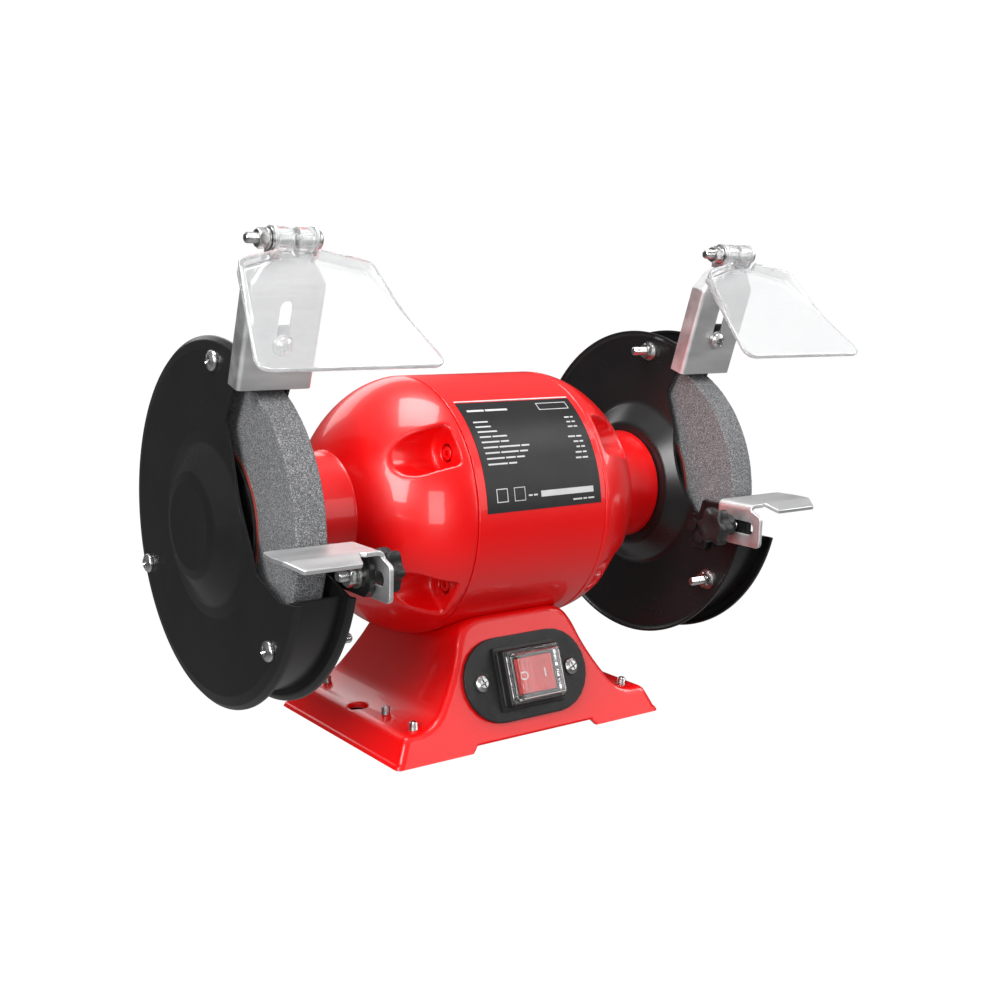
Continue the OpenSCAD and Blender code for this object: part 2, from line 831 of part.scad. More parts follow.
module eye_shield(x) {
    color([0.85, 0.88, 0.9, 0.4]) translate([x, hinge_y, hinge_z]) difference() {
        union() {
            for (s = [-9, 1.5]) rod(s, s + 7.5, barrel_r);
            rotate([pane_angle, 0, 0]) {
                translate([0, 0, pane_z]) linear_extrude(pane_t) pane_shape(6);
                for (s = [-8.7, 1.8]) translate([s, 0, pane_z]) cube([6.9, 10, pane_t]);
                for (s = [0, 1]) mirror([s, 0, 0]) shield_rim();
            }
        }
        rod(-30, 30, 2.58);
    }
}

// The outline of a pane: a roof, straight sides that spread from it, round lower corners
module pane_shape(r) {
    top = pane_w[0] / 2;
    low = pane_w[1] / 2;
    spread = atan((low - top) / (pane_l - shoulder_y));
    inner = low - r * (1 + sin(spread)) / cos(spread);
    polygon(concat([[-top, shoulder_y], [-12, 8.6], [-9, 7.5], [9, 7.5], [12, 8.6],
        [top, shoulder_y]], arc([inner, pane_l - r], r, -spread, 90),
        arc([-inner, pane_l - r], r, 90, 180 + spread)));
}

// The raised rim along one half of the roof and the upper part of one side
module shield_rim() {
    top = pane_w[0] / 2;
    spread = atan((pane_w[1] / 2 - top) / (pane_l - shoulder_y));
    front = pane_z + 0.5 - rim_h;
    translate([0, 0, front]) linear_extrude(rim_h)
        polygon([[9, 7.5], [12, 8.6], [top, shoulder_y], [top - 0.65, shoulder_y + 1.9],
            [11.35, 10.5], [9, 9.7]]);
    translate([top, shoulder_y, 0]) rotate(-spread) yz_plate(-rim_t - 0.2, -0.2)
        polygon([[0, front], [rim_l, pane_z + 0.5], [0, pane_z + 0.5]]);
}

module left_eye_shield() {
    eye_shield(-left_shield_x);
}

module right_eye_shield() {
    eye_shield(right_shield_x);
}

// Switch

module switch_panel() {
    color("#1a1a1a") on_front_face(switch_x, switch_z) linear_extrude(2.5) difference() {
        slot_shape([-(panel_l - panel_h) / 2, 0], [(panel_l - panel_h) / 2, 0], panel_h / 2);
        square([28.6, 25.2], center = true);
        for (x = [-29.5, 29.5]) translate([x, 0]) circle(2.15);
    }
}

module switch_housing() {
    color("black") on_front_face(switch_x, switch_z) difference() {
        union() {
            translate([0, 0, 2.5]) linear_extrude(1.6) soft_rect(41, 33, 2);
            translate([0, 0, 4]) linear_extrude(5.5) soft_rect(36, 29, 1.5);
            translate([-14, -12.3, -22]) cube([28, 24.6, 25]);
        }
        translate([-12.2, -9.7, -6]) cube([24.4, 19.4, 20]);
        translate([0, -11.2, pivot_n]) rotate([-90, 0, 0]) cylinder(h = 22.4, r = 1.27);
    }
}

module switch_rocker() {
    color("#d01010") on_front_face(switch_x, switch_z) translate([0, 0, pivot_n])
        rotate([0, -rock_angle, 0]) {
            translate([0, 9.3, 0]) rotate([90, 0, 0]) linear_extrude(18.6)
                polygon([[-10.9, 6.4], [0, 4.5], [10.9, 6.4], [10.2, -1.5], [4, -3], [-4, -3],
                    [-10.2, -1.5]]);
            translate([0, -11, 0]) rotate([-90, 0, 0]) cylinder(h = 22, r = 1.2);
        }
}

module switch_cover() {
    color([0.9, 0.9, 0.9, 0.35]) on_front_face(switch_x, switch_z) difference() {
        union() {
            translate([0, 0, 9.5]) linear_extrude(1) soft_rect(34, 27.6, 1.5);
            translate([0, 0, 10]) linear_extrude(6) soft_rect(29, 24.4, 2);
        }
        translate([-13.3, -11, 9]) cube([26.6, 22, 5.9]);
    }
}

module switch_screws() {
    color("silver") for (x = [-29.5, 29.5]) on_front_face(switch_x + x, switch_z) {
        translate([0, 0, 2.5]) pan_head(4.4, 2.4);
        translate([0, 0, -8]) cylinder(h = 10.6, r = 2);
    }
}

base();
base_plate();
base_plate_screws();
saddle_screws();
cable_gland();
capacitor();
capacitor_clip();
terminal_block();
motor_shell();
left_end_bell();
right_end_bell();
through_bolts();
through_bolt_nuts();
stator_core();
stator_windings();
bearing_outer_rings();
wave_washer();
rating_plate();
left_inner_guard();
right_inner_guard();
left_guard_cover();
right_guard_cover();
guard_screws();
guard_nuts();
neck_screws();
left_rest_arm();
right_rest_arm();
arm_rivets();
rest_nuts();
bracket_screws();
bracket_nuts();
switch_panel();
switch_housing();
switch_cover();
switch_screws();
switch_rocker();
shaft();
rotor_core();
bearing_inner_rings();
bearing_balls();
inner_flanges();
outer_flanges();
wheel_blotters();
left_wheel();
right_wheel();
left_wheel_nut();
right_wheel_nut();
left_spark_bracket();
right_spark_bracket();
left_hinge_bolt();
right_hinge_bolt();
left_eye_shield();
right_eye_shield();
left_tool_rest();
right_tool_rest();
left_rest_knob();
right_rest_knob();
left_rest_stud();
right_rest_stud();
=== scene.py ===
import json
import math

import bmesh
import bpy
import numpy as np
import openvdb
from mathutils import Matrix, Vector
from mathutils.geometry import tessellate_polygon


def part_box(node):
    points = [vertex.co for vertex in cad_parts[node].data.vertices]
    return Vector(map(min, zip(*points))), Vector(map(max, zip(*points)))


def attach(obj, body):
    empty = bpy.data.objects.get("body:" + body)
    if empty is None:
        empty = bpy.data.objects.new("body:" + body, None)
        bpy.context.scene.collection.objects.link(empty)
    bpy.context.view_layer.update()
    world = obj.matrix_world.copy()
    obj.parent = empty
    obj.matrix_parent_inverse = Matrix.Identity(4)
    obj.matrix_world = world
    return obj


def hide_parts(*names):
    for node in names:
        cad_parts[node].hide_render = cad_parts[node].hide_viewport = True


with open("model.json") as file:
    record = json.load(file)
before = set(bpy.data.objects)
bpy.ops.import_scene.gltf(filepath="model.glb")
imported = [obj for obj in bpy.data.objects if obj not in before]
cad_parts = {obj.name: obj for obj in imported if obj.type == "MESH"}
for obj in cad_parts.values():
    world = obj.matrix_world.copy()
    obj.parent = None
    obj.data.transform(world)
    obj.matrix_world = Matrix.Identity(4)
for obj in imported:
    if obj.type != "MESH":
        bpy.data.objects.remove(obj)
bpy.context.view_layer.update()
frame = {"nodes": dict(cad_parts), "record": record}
MM = 0.001


# Sizes, in millimetres: from the frame where a node's box tells them, and otherwise as in the CAD

def low(node, axis):
    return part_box(node)[0][axis] / MM


def high(node, axis):
    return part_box(node)[1][axis] / MM


def mid(node, axis):
    return (low(node, axis) + high(node, axis)) / 2


SHAFT_Z = mid("shaft", 2)
SHELL_R = (high("motor_shell", 2) - low("motor_shell", 2)) / 2
SHELL_X = high("motor_shell", 0)
BELL_X = SHELL_X + 0.2
NECK_END = high("right_end_bell", 0)
NECK_X = NECK_END - 24.5
NECK_R = 31.5
WHEEL_R = (high("right_wheel", 2) - low("right_wheel", 2)) / 2
WHEEL_IN = low("right_wheel", 0)
WHEEL_OUT = high("right_wheel", 0)
SHEET = 1.5
COVER_X = high("right_guard_cover", 0) - 10
GUARD_R = SHAFT_Z - low("right_guard_cover", 2)
INNER_X = NECK_END + 9.8
BAND_X = INNER_X + SHEET
BAND_R = 84
BOLT_RING = 57
BOLT_ANGLES = (36, 144, 216, 324)
POCKET_X = 46.7
POCKET_R = 11
POCKET_SLOPE = 0.15
BOLT_SEAT = 43.2
GUARD_SCREW_R = 79.6
GUARD_SCREW_ANGLES = (84, 204.5, -36.5)
NECK_SCREW_R = 23.5
NECK_SCREW_ANGLES = (30, 150, 270)
LEAN = math.radians(17)
NECK_LEAN = math.radians(7)
SHIELD_X = {"left": mid("left_eye_shield", 0), "right": mid("right_eye_shield", 0)}
HINGE_Y = -60
HINGE_Z = 252.7
BRACKET_FOOT = (-43, 185.5)
BRACKET_H = 49.2
CLAMP_Z = 20.8
STUD_Y = mid("right_rest_stud", 1)
STUD_Z = mid("right_rest_stud", 2)
STUD_R = 3
REST_Z = high("right_tool_rest", 2)
FACE_TILT = math.radians(20)
FOOT_H = 14.5
BASE_FRONT = -low("base", 1)
BASE_BACK = high("base", 1)
BASE_X = high("base", 0)
BASE_TOP = 63.5
BASE_WALL = 3
MOUNT_X = 73.5
MOUNT_Y = (BASE_BACK - BASE_FRONT) / 2
MOUNT_R = 5
SWITCH_X = mid("switch_panel", 0)
SWITCH_Z = 32
SIDES = {"left": -1, "right": 1}
M4_R = 2
M5_R = 2.4
M5_PITCH = 0.8
CLAMP_R = 2.5
PAN_R = 4.4

# Turns of a part that is made lying on z = 0

DOWN = Matrix.Rotation(math.pi, 4, "X")
UPRIGHT = Matrix.Rotation(math.pi / 2, 4, "X")
ALONG_X = Matrix.Rotation(math.pi / 2, 4, "Y")
SIDEWAYS = Matrix.Rotation(math.pi / 2, 4, "Z") @ UPRIGHT


# Mesh tools

def add_object(name, mesh):
    obj = bpy.data.objects.new(name, mesh)
    bpy.context.scene.collection.objects.link(obj)
    return obj


def from_bmesh(name, bm):
    bmesh.ops.recalc_face_normals(bm, faces=bm.faces)
    mesh = bpy.data.meshes.new(name)
    bm.to_mesh(mesh)
    bm.free()
    return add_object(name, mesh)


def build(name, points, faces):
    """A mesh from points in millimetres."""
    mesh = bpy.data.meshes.new(name)
    mesh.from_pydata([Vector(p) * MM for p in points], [], faces)
    bm = bmesh.new()
    bm.from_mesh(mesh)
    bpy.data.meshes.remove(mesh)
    bmesh.ops.remove_doubles(bm, verts=bm.verts, dist=1e-6)
    bmesh.ops.dissolve_degenerate(bm, edges=bm.edges, dist=1e-6)
    return from_bmesh(name, bm)


def settle(obj):
    """Makes the result of the object's modifiers its own mesh."""
    graph = bpy.context.evaluated_depsgraph_get()
    mesh = bpy.data.meshes.new_from_object(obj.evaluated_get(graph), depsgraph=graph)
    obj.modifiers.clear()
    old = obj.data
    obj.data = mesh
    bpy.data.meshes.remove(old)
    return obj


def move(obj, matrix):
    """Moves the mesh by a matrix in millimetres."""
    scaled = matrix.copy()
    scaled.translation = matrix.translation * MM
    obj.data.transform(scaled)
    if scaled.determinant() < 0:
        obj.data.flip_normals()
    return obj


def at(x, y, z):
    return Matrix.Translation((x, y, z))


def mirrored(obj, sign):
    """Puts a right-hand part on the side that sign gives."""
    return move(obj, Matrix.Diagonal((sign, 1, 1, 1)))


def discard(obj):
    mesh = obj.data
    bpy.data.objects.remove(obj)
    bpy.data.meshes.remove(mesh)


def joined(name, parts):
    """One object from several; the parts are used up."""
    bm = bmesh.new()
    for part in parts:
        bm.from_mesh(part.data)
        discard(part)
    mesh = bpy.data.meshes.new(name)
    bm.to_mesh(mesh)
    bm.free()
    return add_object(name, mesh)


def repeated(name, part, matrices):
    """Copies of one part at several places, as one object; the part is used up."""
    copies = [move(add_object("copy", part.data.copy()), matrix) for matrix in matrices]
    discard(part)
    return joined(name, copies)


def cut(obj, tool):
    """Takes the tool away from the object; the tool is used up."""
    step = obj.modifiers.new("cut", "BOOLEAN")
    step.operation = "DIFFERENCE"
    step.solver = "EXACT"
    step.object = tool
    settle(obj)
    discard(tool)
    return obj


def round_edges(obj, width):
    step = obj.modifiers.new("round", "BEVEL")
    step.width = width * MM
    step.segments = 2
    step.limit_method = "ANGLE"
    step.angle_limit = math.radians(50)
    return settle(obj)


def finish_piece(obj, body, slot, *nodes, smooth=40, material=None):
    """Shades a piece and puts it on its body, in place of CAD nodes, with its slot's material or another."""
    for face in obj.data.polygons:
        face.use_smooth = True
    obj.data.set_sharp_from_angle(angle=math.radians(smooth))
    step = obj.modifiers.new("normals", "WEIGHTED_NORMAL")
    step.keep_sharp = True
    settle(obj)
    obj.data.materials.clear()
    obj.data.materials.append(material or LOOKS[slot])
    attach(obj, body)
    if nodes:
        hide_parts(*nodes)
    return obj


# Outlines

def soften(points, steps=6):
    """Rounds the corners of a closed outline whose points are (u, v) or (u, v, radius)."""
    result = []
    for i, point in enumerate(points):
        here = Vector(point[:2])
        radius = point[2] if len(point) > 2 else 0
        before = Vector(points[i - 1][:2]) - here
        after = Vector(points[(i + 1) % len(points)][:2]) - here
        half = before.angle(after) / 2
        if radius == 0 or half > math.pi / 2 - 0.01:
            result.append(tuple(here))
            continue
        reach = min(radius / math.tan(half), 0.49 * before.length, 0.49 * after.length)
        radius = reach * math.tan(half)
        middle = (before.normalized() + after.normalized()).normalized()
        centre = here + middle * (radius / math.sin(half))
        first = before.normalized() * reach + here - centre
        last = after.normalized() * reach + here - centre
        start = math.atan2(first.y, first.x)
        turn = math.atan2(last.y, last.x) - start
        turn = (turn + math.pi) % math.tau - math.pi
        for k in range(steps + 1):
            a = start + turn * k / steps
            result.append((centre.x + radius * math.cos(a), centre.y + radius * math.sin(a)))
    return result


def circle(u, v, radius, steps=32):
    turns = [math.tau * k / steps for k in range(steps)]
    return [(u + radius * math.cos(a), v + radius * math.sin(a)) for a in turns]


def slot_outline(p, q, radius):
    """A slot between two points."""
    along = math.atan2(q[1] - p[1], q[0] - p[0])
    result = []
    for centre, side in ((q, -math.pi / 2), (p, math.pi / 2)):
        for k in range(13):
            a = along + side + math.pi * k / 12
            result.append((centre[0] + radius * math.cos(a), centre[1] + radius * math.sin(a)))
    return result


def rectangle(length, width, radius):
    x, y = length / 2, width / 2
    return soften([(-x, -y, radius), (x, -y, radius), (x, y, radius), (-x, y, radius)])


def area(loop):
    return sum(a[0] * b[1] - b[0] * a[1] for a, b in zip(loop, loop[1:] + loop[:1])) / 2


def inset(loop, distance):
    """Moves a closed outline to its left."""
    result = []
    for i, point in enumerate(loop):
        here = Vector(point)
        before = (here - Vector(loop[i - 1])).normalized()
        after = (Vector(loop[(i + 1) % len(loop)]) - here).normalized()
        normal = Vector((-before.y, before.x)) + Vector((-after.y, after.x))
        scale = distance * 2 / max(normal.length_squared, 0.5)
        result.append((here.x + normal.x * scale, here.y + normal.y * scale))
    return result


# Solids

def loft(name, rings, closed=False):
    """Joins rings of equal length; the ends are capped unless the rings close on themselves."""
    n = len(rings[0])
    points = [p for ring in rings for p in ring]
    faces = []
    for k in range(len(rings) if closed else len(rings) - 1):
        a, b = k * n, ((k + 1) % len(rings)) * n
        faces += [(a + i, a + (i + 1) % n, b + (i + 1) % n, b + i) for i in range(n)]
    if not closed:
        faces.append(tuple(range(n)))
        faces.append(tuple(range(len(points) - n, len(points))))
    return build(name, points, faces)


def lathe(name, outline, start=0, sweep=360, steps=192):
    """Turns a closed outline of (x, radius) points round the shaft, from start degrees up the front."""
    whole = sweep == 360
    angles = [math.radians(start + sweep * k / steps) for k in range(steps if whole else steps + 1)]
    rings = [[(x, -r * math.cos(a), SHAFT_Z + r * math.sin(a)) for x, r in outline] for a in angles]
    return loft(name, rings, closed=whole)


def spun(name, outline, steps=48):
    """Turns an outline of (height, radius) points round Z; its ends lie on the axis or meet."""
    angles = [math.tau * k / steps for k in range(steps)]
    rings = [[(r * math.cos(a), r * math.sin(a), z) for z, r in outline] for a in angles]
    return loft(name, rings, closed=True)


def sheet(name, outlines, thickness, edge=0.3, steps=2):
    """A flat sheet about z = 0 with rounded edges; the first outline is its rim, the others holes."""
    loops = []
    for i, outline in enumerate(outlines):
        rim = area(outline) > 0
        loops.append(outline if rim == (i == 0) else outline[::-1])
    quarter = [math.pi / 2 * k / steps for k in range(steps + 1)]
    lower = [(edge * (1 - math.sin(a)), edge * (1 - math.cos(a)) - thickness / 2) for a in quarter]
    levels = lower + [(d, -z) for d, z in reversed(lower)]
    points = []
    faces = []
    caps = [[], []]
    for loop in loops:
        start = len(points)
        n = len(loop)
        for distance, z in levels:
            points += [(u, v, z) for u, v in inset(loop, distance)]
        for k in range(len(levels) - 1):
            a, b = start + k * n, start + (k + 1) * n
            faces += [(a + i, a + (i + 1) % n, b + (i + 1) % n, b + i) for i in range(n)]
        caps[0] += range(start, start + n)
        caps[1] += range(start + (len(levels) - 1) * n, start + len(levels) * n)
    shape = [[Vector((u, v, 0)) for u, v in inset(loop, edge)] for loop in loops]
    for triangle in tessellate_polygon(shape):
        faces.append(tuple(caps[0][i] for i in triangle))
        faces.append(tuple(caps[1][i] for i in reversed(triangle)))
    return build(name, points, faces)


def slice_mesh(obj, places, normal):
    """Adds edges across the mesh where it meets planes with this normal."""
    bm = bmesh.new()
    bm.from_mesh(obj.data)
    for place in places:
        everything = bm.verts[:] + bm.edges[:] + bm.faces[:]
        point = Vector(normal) * place * MM
        bmesh.ops.bisect_plane(bm, geom=everything, plane_co=point, plane_no=normal)
    bm.to_mesh(obj.data)
    bm.free()


def fold(obj, place, normal, angle, radius, where=lambda p: True):
    """Bends a flat sheet up by an angle where it passes the line normal . p = place."""
    n = Vector(normal)
    turn = math.radians(abs(angle))
    sign = 1 if angle > 0 else -1
    for vertex in obj.data.vertices:
        p = vertex.co / MM
        s = p.dot(n) - place
        if s <= 0 or not where(p):
            continue
        a = min(s / radius, turn)
        rest = s - a * radius
        rise = p.z * sign
        out = radius * math.sin(a) + rest * math.cos(a) - rise * math.sin(a)
        up = radius * (1 - math.cos(a)) + rest * math.sin(a) + rise * math.cos(a)
        flat = p - n * s
        flat.z = 0
        vertex.co = (flat + n * out + Vector((0, 0, up * sign))) * MM


def smooth_max(a, b, k):
    h = np.maximum(k - np.abs(a - b), 0) / k
    return np.maximum(a, b) + h * h * k / 4


def smooth_min(a, b, k):
    return -smooth_max(-a, -b, k)


def cast(name, field, corner, far, step):
    """The surface where a field of (x, y, z) is 0, its inside being negative."""
    axes = [np.arange(a, b + step, step) for a, b in zip(corner, far)]
    grid = openvdb.FloatGrid(step * 3)
    grid.copyFromArray(field(*np.meshgrid(*axes, indexing="ij")).astype(np.float32))
    points, quads = grid.convertToQuads(0)
    points = points * step + np.array(corner)
    tiny = 0.01
    for _ in range(3):
        value = field(*points.T)
        slope = np.stack([
            field(*(points + tiny * axis).T) - value for axis in np.eye(3)
        ], axis=1) / tiny
        size = np.maximum((slope ** 2).sum(axis=1), 0.2)
        shift = slope * (value / size)[:, None]
        length = np.maximum(np.linalg.norm(shift, axis=1, keepdims=True), 1e-9)
        points = points - shift * np.minimum(1, 0.5 * step / length)
    mesh = bpy.data.meshes.new(name)
    mesh.from_pydata((points * MM).tolist(), [], quads[:, ::-1].tolist())
    bm = bmesh.new()
    bm.from_mesh(mesh)
    bpy.data.meshes.remove(mesh)
    return from_bmesh(name, bm)


# Places

def on_ring(x, radius, angle):
    a = math.radians(angle)
    return Vector((x, -radius * math.cos(a), SHAFT_Z + radius * math.sin(a)))


def outward(side, place):
    """Local Z points away from the middle of the grinder along the shaft."""
    turn = Matrix.Rotation(math.radians(90 * side), 4, "Y")
    return Matrix.Translation(place) @ turn


def face_frame(x, z):
    """X along the base's sloping front face, Y up it, Z out of it."""
    y = -BASE_FRONT + math.tan(FACE_TILT) * z
    return at(x, y, z) @ Matrix.Rotation(math.pi / 2 - FACE_TILT, 4, "X")


def bracket_frame(x):
    """Y runs back from the face of a spark bracket, Z up it."""
    return at(x, *BRACKET_FOOT) @ Matrix.Rotation(LEAN, 4, "X")


# Materials

def new_material(name):
    material = bpy.data.materials.new(name)
    material.use_nodes = True
    shader = material.node_tree.nodes["Principled BSDF"]
    return material, material.node_tree, shader


def add_node(tree, kind, **values):
    node = tree.nodes.new("ShaderNode" + kind)
    for key, value in values.items():
        if key in node.inputs:
            node.inputs[key].default_value = value
        else:
            setattr(node, key, value)
    return node


def position(tree, scale=(1, 1, 1)):
    """Object coordinates, scaled."""
    place = add_node(tree, "TexCoord")
    mapping = add_node(tree, "Mapping", Scale=scale)
    tree.links.new(place.outputs["Object"], mapping.inputs["Vector"])
    return mapping.outputs["Vector"]


def noise(tree, scale, detail=3, stretch=(1, 1, 1)):
    node = add_node(tree, "TexNoise", Scale=scale, Detail=detail)
    tree.links.new(position(tree, stretch), node.inputs["Vector"])
    return node.outputs["Fac"]


def spread(tree, value, low_value, high_value):
    """A 0 to 1 value turned into a range."""
    node = add_node(tree, "MapRange")
    node.inputs["From Min"].default_value = 0.3
    node.inputs["From Max"].default_value = 0.7
    node.inputs["To Min"].default_value = low_value
    node.inputs["To Max"].default_value = high_value
    tree.links.new(value, node.inputs["Value"])
    return node.outputs["Result"]


def colours(tree, value, *stops):
    """A colour ramp of (place, colour) stops."""
    node = add_node(tree, "ValToRGB")
    ramp = node.color_ramp
    while len(ramp.elements) < len(stops):
        ramp.elements.new(0.5)
    for element, (place, colour) in zip(ramp.elements, stops):
        element.position = place
        element.color = (*colour, 1)
    tree.links.new(value, node.inputs["Fac"])
    return node.outputs["Color"]


def bump(tree, shader, height, strength, distance):
    node = add_node(tree, "Bump", Strength=strength, Distance=distance)
    tree.links.new(height, node.inputs["Height"])
    tree.links.new(node.outputs["Normal"], shader.inputs["Normal"])


def vary(tree, shader, tone, dark, light, gloss, rough):
    """Blends two colours by one pattern, and the roughness between two values by another."""
    tree.links.new(colours(tree, tone, (0.3, dark), (0.7, light)), shader.inputs["Base Color"])
    tree.links.new(spread(tree, gloss, *rough), shader.inputs["Roughness"])


def paint(name, dark, light, rough, coat, peel):
    """Sprayed paint: slight unevenness in colour and gloss, and an orange-peel surface."""
    material, tree, shader = new_material(name)
    vary(tree, shader, noise(tree, 35), dark, light, noise(tree, 60), rough)
    shader.inputs["Coat Weight"].default_value = coat
    shader.inputs["Coat Roughness"].default_value = 0.05
    bump(tree, shader, noise(tree, 900, 2), peel, 0.0001)
    return material


def metal(name, dark, light, rough, stretch, grain):
    """Bare or plated steel with drawn grain along one axis."""
    material, tree, shader = new_material(name)
    streak = noise(tree, 180, 4, stretch)
    vary(tree, shader, streak, dark, light, noise(tree, 90, 3, stretch), rough)
    shader.inputs["Metallic"].default_value = 1
    bump(tree, shader, streak, grain, 0.0001)
    return material


def plastic(name, dark, light, rough, grain):
    """Moulded plastic, print or paper with a fine grain."""
    material, tree, shader = new_material(name)
    vary(tree, shader, noise(tree, 120), dark, light, noise(tree, 400), rough)
    bump(tree, shader, noise(tree, 2500, 2), grain, 0.0001)
    return material


def clear(name, dark, light, rough, scratches, haze):
    """Clear moulded plastic with fine scuffs."""
    material, tree, shader = new_material(name)
    scuff = noise(tree, 160, 4, (1, 6, 1))
    vary(tree, shader, scuff, dark, light, scuff, rough)
    shader.inputs["IOR"].default_value = 1.49
    shader.inputs["Transmission Weight"].default_value = haze
    bump(tree, shader, scuff, scratches, 0.0001)
    return material


def grit():
    """Bonded abrasive: grey grains of varying tone, with painted shade for dark pores and painted glints for
    bright crystal faces.
    """
    material, tree, shader = new_material("grey_abrasive")
    grains = add_node(tree, "TexVoronoi", Scale=3000)
    tree.links.new(position(tree), grains.inputs["Vector"])
    brightness = add_node(tree, "SeparateColor")
    tree.links.new(grains.outputs["Color"], brightness.inputs["Color"])
    # Random grey per grain. The darkest stop is painted shade standing for pores, and the brightest stop is
    # a painted glint standing for crystal faces.
    grain_tone_pore_shade_and_glints = colours(tree, brightness.outputs["Red"], (0.0, (0.05, 0.05, 0.052)),
                      (0.35, (0.12, 0.122, 0.126)), (0.8, (0.22, 0.223, 0.23)),
                      (1.0, (0.5, 0.5, 0.51)))
    tree.links.new(grain_tone_pore_shade_and_glints, shader.inputs["Base Color"])
    tree.links.new(spread(tree, brightness.outputs["Green"], 0.55, 0.95),
                   shader.inputs["Roughness"])
    bump(tree, shader, grains.outputs["Distance"], 0.7, 0.0002)
    return material


LOOKS = {
    "red_paint": paint("red_paint", (0.86, 0.001, 0.002), (0.88, 0.001, 0.002), (0.32, 0.36), 0.5, 0.03),
    "black_paint": paint("black_paint", (0.008, 0.008, 0.0085), (0.011, 0.011, 0.0115), (0.26, 0.32),
                         0.0, 0.08),
    "dark_steel": metal("dark_steel", (0.05, 0.05, 0.052), (0.09, 0.09, 0.093), (0.4, 0.55),
                        (1, 1, 1), 0.1),
    "zinc_steel": metal("zinc_steel", (0.5, 0.5, 0.5), (0.72, 0.72, 0.71), (0.2, 0.36), (1, 1, 1), 0.1),
    "galvanised_steel": metal("galvanised_steel", (0.76, 0.765, 0.77), (0.88, 0.885, 0.89), (0.42, 0.55),
                              (0.15, 1, 1), 0.12),
    "black_plastic": plastic("black_plastic", (0.008, 0.008, 0.008), (0.016, 0.016, 0.016), (0.4, 0.55),
                             0.3),
    "clear_plastic": clear("clear_plastic", (0.84, 0.85, 0.855), (0.9, 0.905, 0.91), (0.01, 0.05), 0.005,
                           0.76),
    "grey_abrasive": grit(),
    "red_paper": plastic("red_paper", (0.26, 0.03, 0.02), (0.34, 0.05, 0.035), (0.8, 0.95), 0.5),
    "copper_wire": metal("copper_wire", (0.6, 0.24, 0.1), (0.8, 0.4, 0.2), (0.25, 0.4), (1, 8, 8), 0.5),
    "laminated_steel": metal("laminated_steel", (0.2, 0.2, 0.21), (0.34, 0.34, 0.36), (0.4, 0.6),
                             (12, 0.2, 0.2), 0.5),
    "bearing_steel": metal("bearing_steel", (0.6, 0.6, 0.61), (0.74, 0.74, 0.75), (0.12, 0.25),
                           (8, 0.3, 0.3), 0.1),
    "plate_label": plastic("plate_label", (0.006, 0.006, 0.007), (0.009, 0.009, 0.01), (0.35, 0.42), 0.03),
    "white_plastic": plastic("white_plastic", (0.75, 0.74, 0.7), (0.82, 0.81, 0.78), (0.4, 0.55), 0.1),
    "red_plastic": plastic("red_plastic", (0.5, 0.006, 0.004), (0.62, 0.012, 0.008), (0.18, 0.3), 0.05),
}
LENS = clear("switch_lens", (0.95, 0.95, 0.95), (0.99, 0.99, 0.99), (0.01, 0.03), 0.005, 0.985)
INK = plastic("white_print", (0.62, 0.62, 0.62), (0.7, 0.7, 0.7), (0.35, 0.5), 0.05)


# Base

def waist(z):
    """Half the width of the pedestal at a height."""
    rise = np.clip(1 - (z - FOOT_H) / 43.5, 0, 1)
    return 38 + 24 * rise ** 1.5


def base_body(x, y, z):
    """The outside of the base, with no bottom."""
    wide = np.abs(x)
    lip = np.where(z < 2.2, 0.0, 0.7)
    foot = smooth_max((wide - (BASE_X - lip - 0.5 * z)) * 0.894, z - FOOT_H, 3)
    pedestal = smooth_max((wide - waist(z)) * 0.85, z - BASE_TOP, 14)
    body = smooth_min(foot, pedestal, 9)
    slope = math.tan(FACE_TILT)
    body = smooth_max(body, (-y - BASE_FRONT + slope * z) * math.cos(FACE_TILT), 3.5)
    body = smooth_max(body, (y - BASE_BACK + slope * z) * math.cos(FACE_TILT), 3.5)
    return smooth_max(body, SHELL_R + 0.05 - np.hypot(y, z - SHAFT_Z), 0.8)


def base_field(x, y, z):
    body = base_body(x, y, z)
    shell = np.maximum(np.maximum(body, -z), -(body + BASE_WALL))
    hole = np.hypot(np.abs(x) - MOUNT_X, y - MOUNT_Y) - MOUNT_R
    shell = smooth_max(shell, -hole, 1)
    notch = np.maximum(np.maximum(np.abs(x) - 41 + z * 0.9, z - 3.4), y)
    up = np.array([math.sin(FACE_TILT), math.cos(FACE_TILT)])
    rise = (y + BASE_FRONT - math.tan(FACE_TILT) * SWITCH_Z) * up[0] + (z - SWITCH_Z) * up[1]
    window = np.maximum(np.maximum(np.abs(x - SWITCH_X) - 15, np.abs(rise) - 13.5), y + 30)
    return np.maximum(np.maximum(shell, -notch), -window)


def make_base():
    step = 0.8
    margin = 2
    corner = (-BASE_X - margin, -BASE_FRONT - margin, -margin)
    far = (BASE_X + margin, BASE_BACK + margin, 66)
    base = cast("base_casting", base_field, corner, far, step)
    finish_piece(base, "frame", "red_paint", "base", smooth=50)


# Motor

def bell_radius(x):
    """The dome, down to the neck."""
    u = np.clip((x - BELL_X) / (NECK_X - BELL_X), 0, 1)
    return np.maximum(NECK_R, 26 + (SHELL_R - 26) * (1 - u ** 1.75) ** 0.7)


def pocket_field(x, y, z, angle, grow):
    """A channel over a through-bolt's head, open away from the shaft."""
    a = math.radians(angle)
    out = -y * math.cos(a) + (z - SHAFT_Z) * math.sin(a) - BOLT_RING
    out = out - POCKET_SLOPE * (x - POCKET_X)
    across = y * math.sin(a) + (z - SHAFT_Z) * math.cos(a)
    channel = np.where(out < 0, np.hypot(out, across), np.abs(across)) - POCKET_R - grow
    return smooth_max(channel, POCKET_X - grow - x, 4)


def bell_body(x, y, z, grow):
    radius = np.hypot(y, z - SHAFT_Z)
    body = (radius - bell_radius(x + grow) + grow) * 0.8
    for angle in BOLT_ANGLES:
        body = smooth_max(body, -pocket_field(x, y, z, angle, grow), 2)
    return body


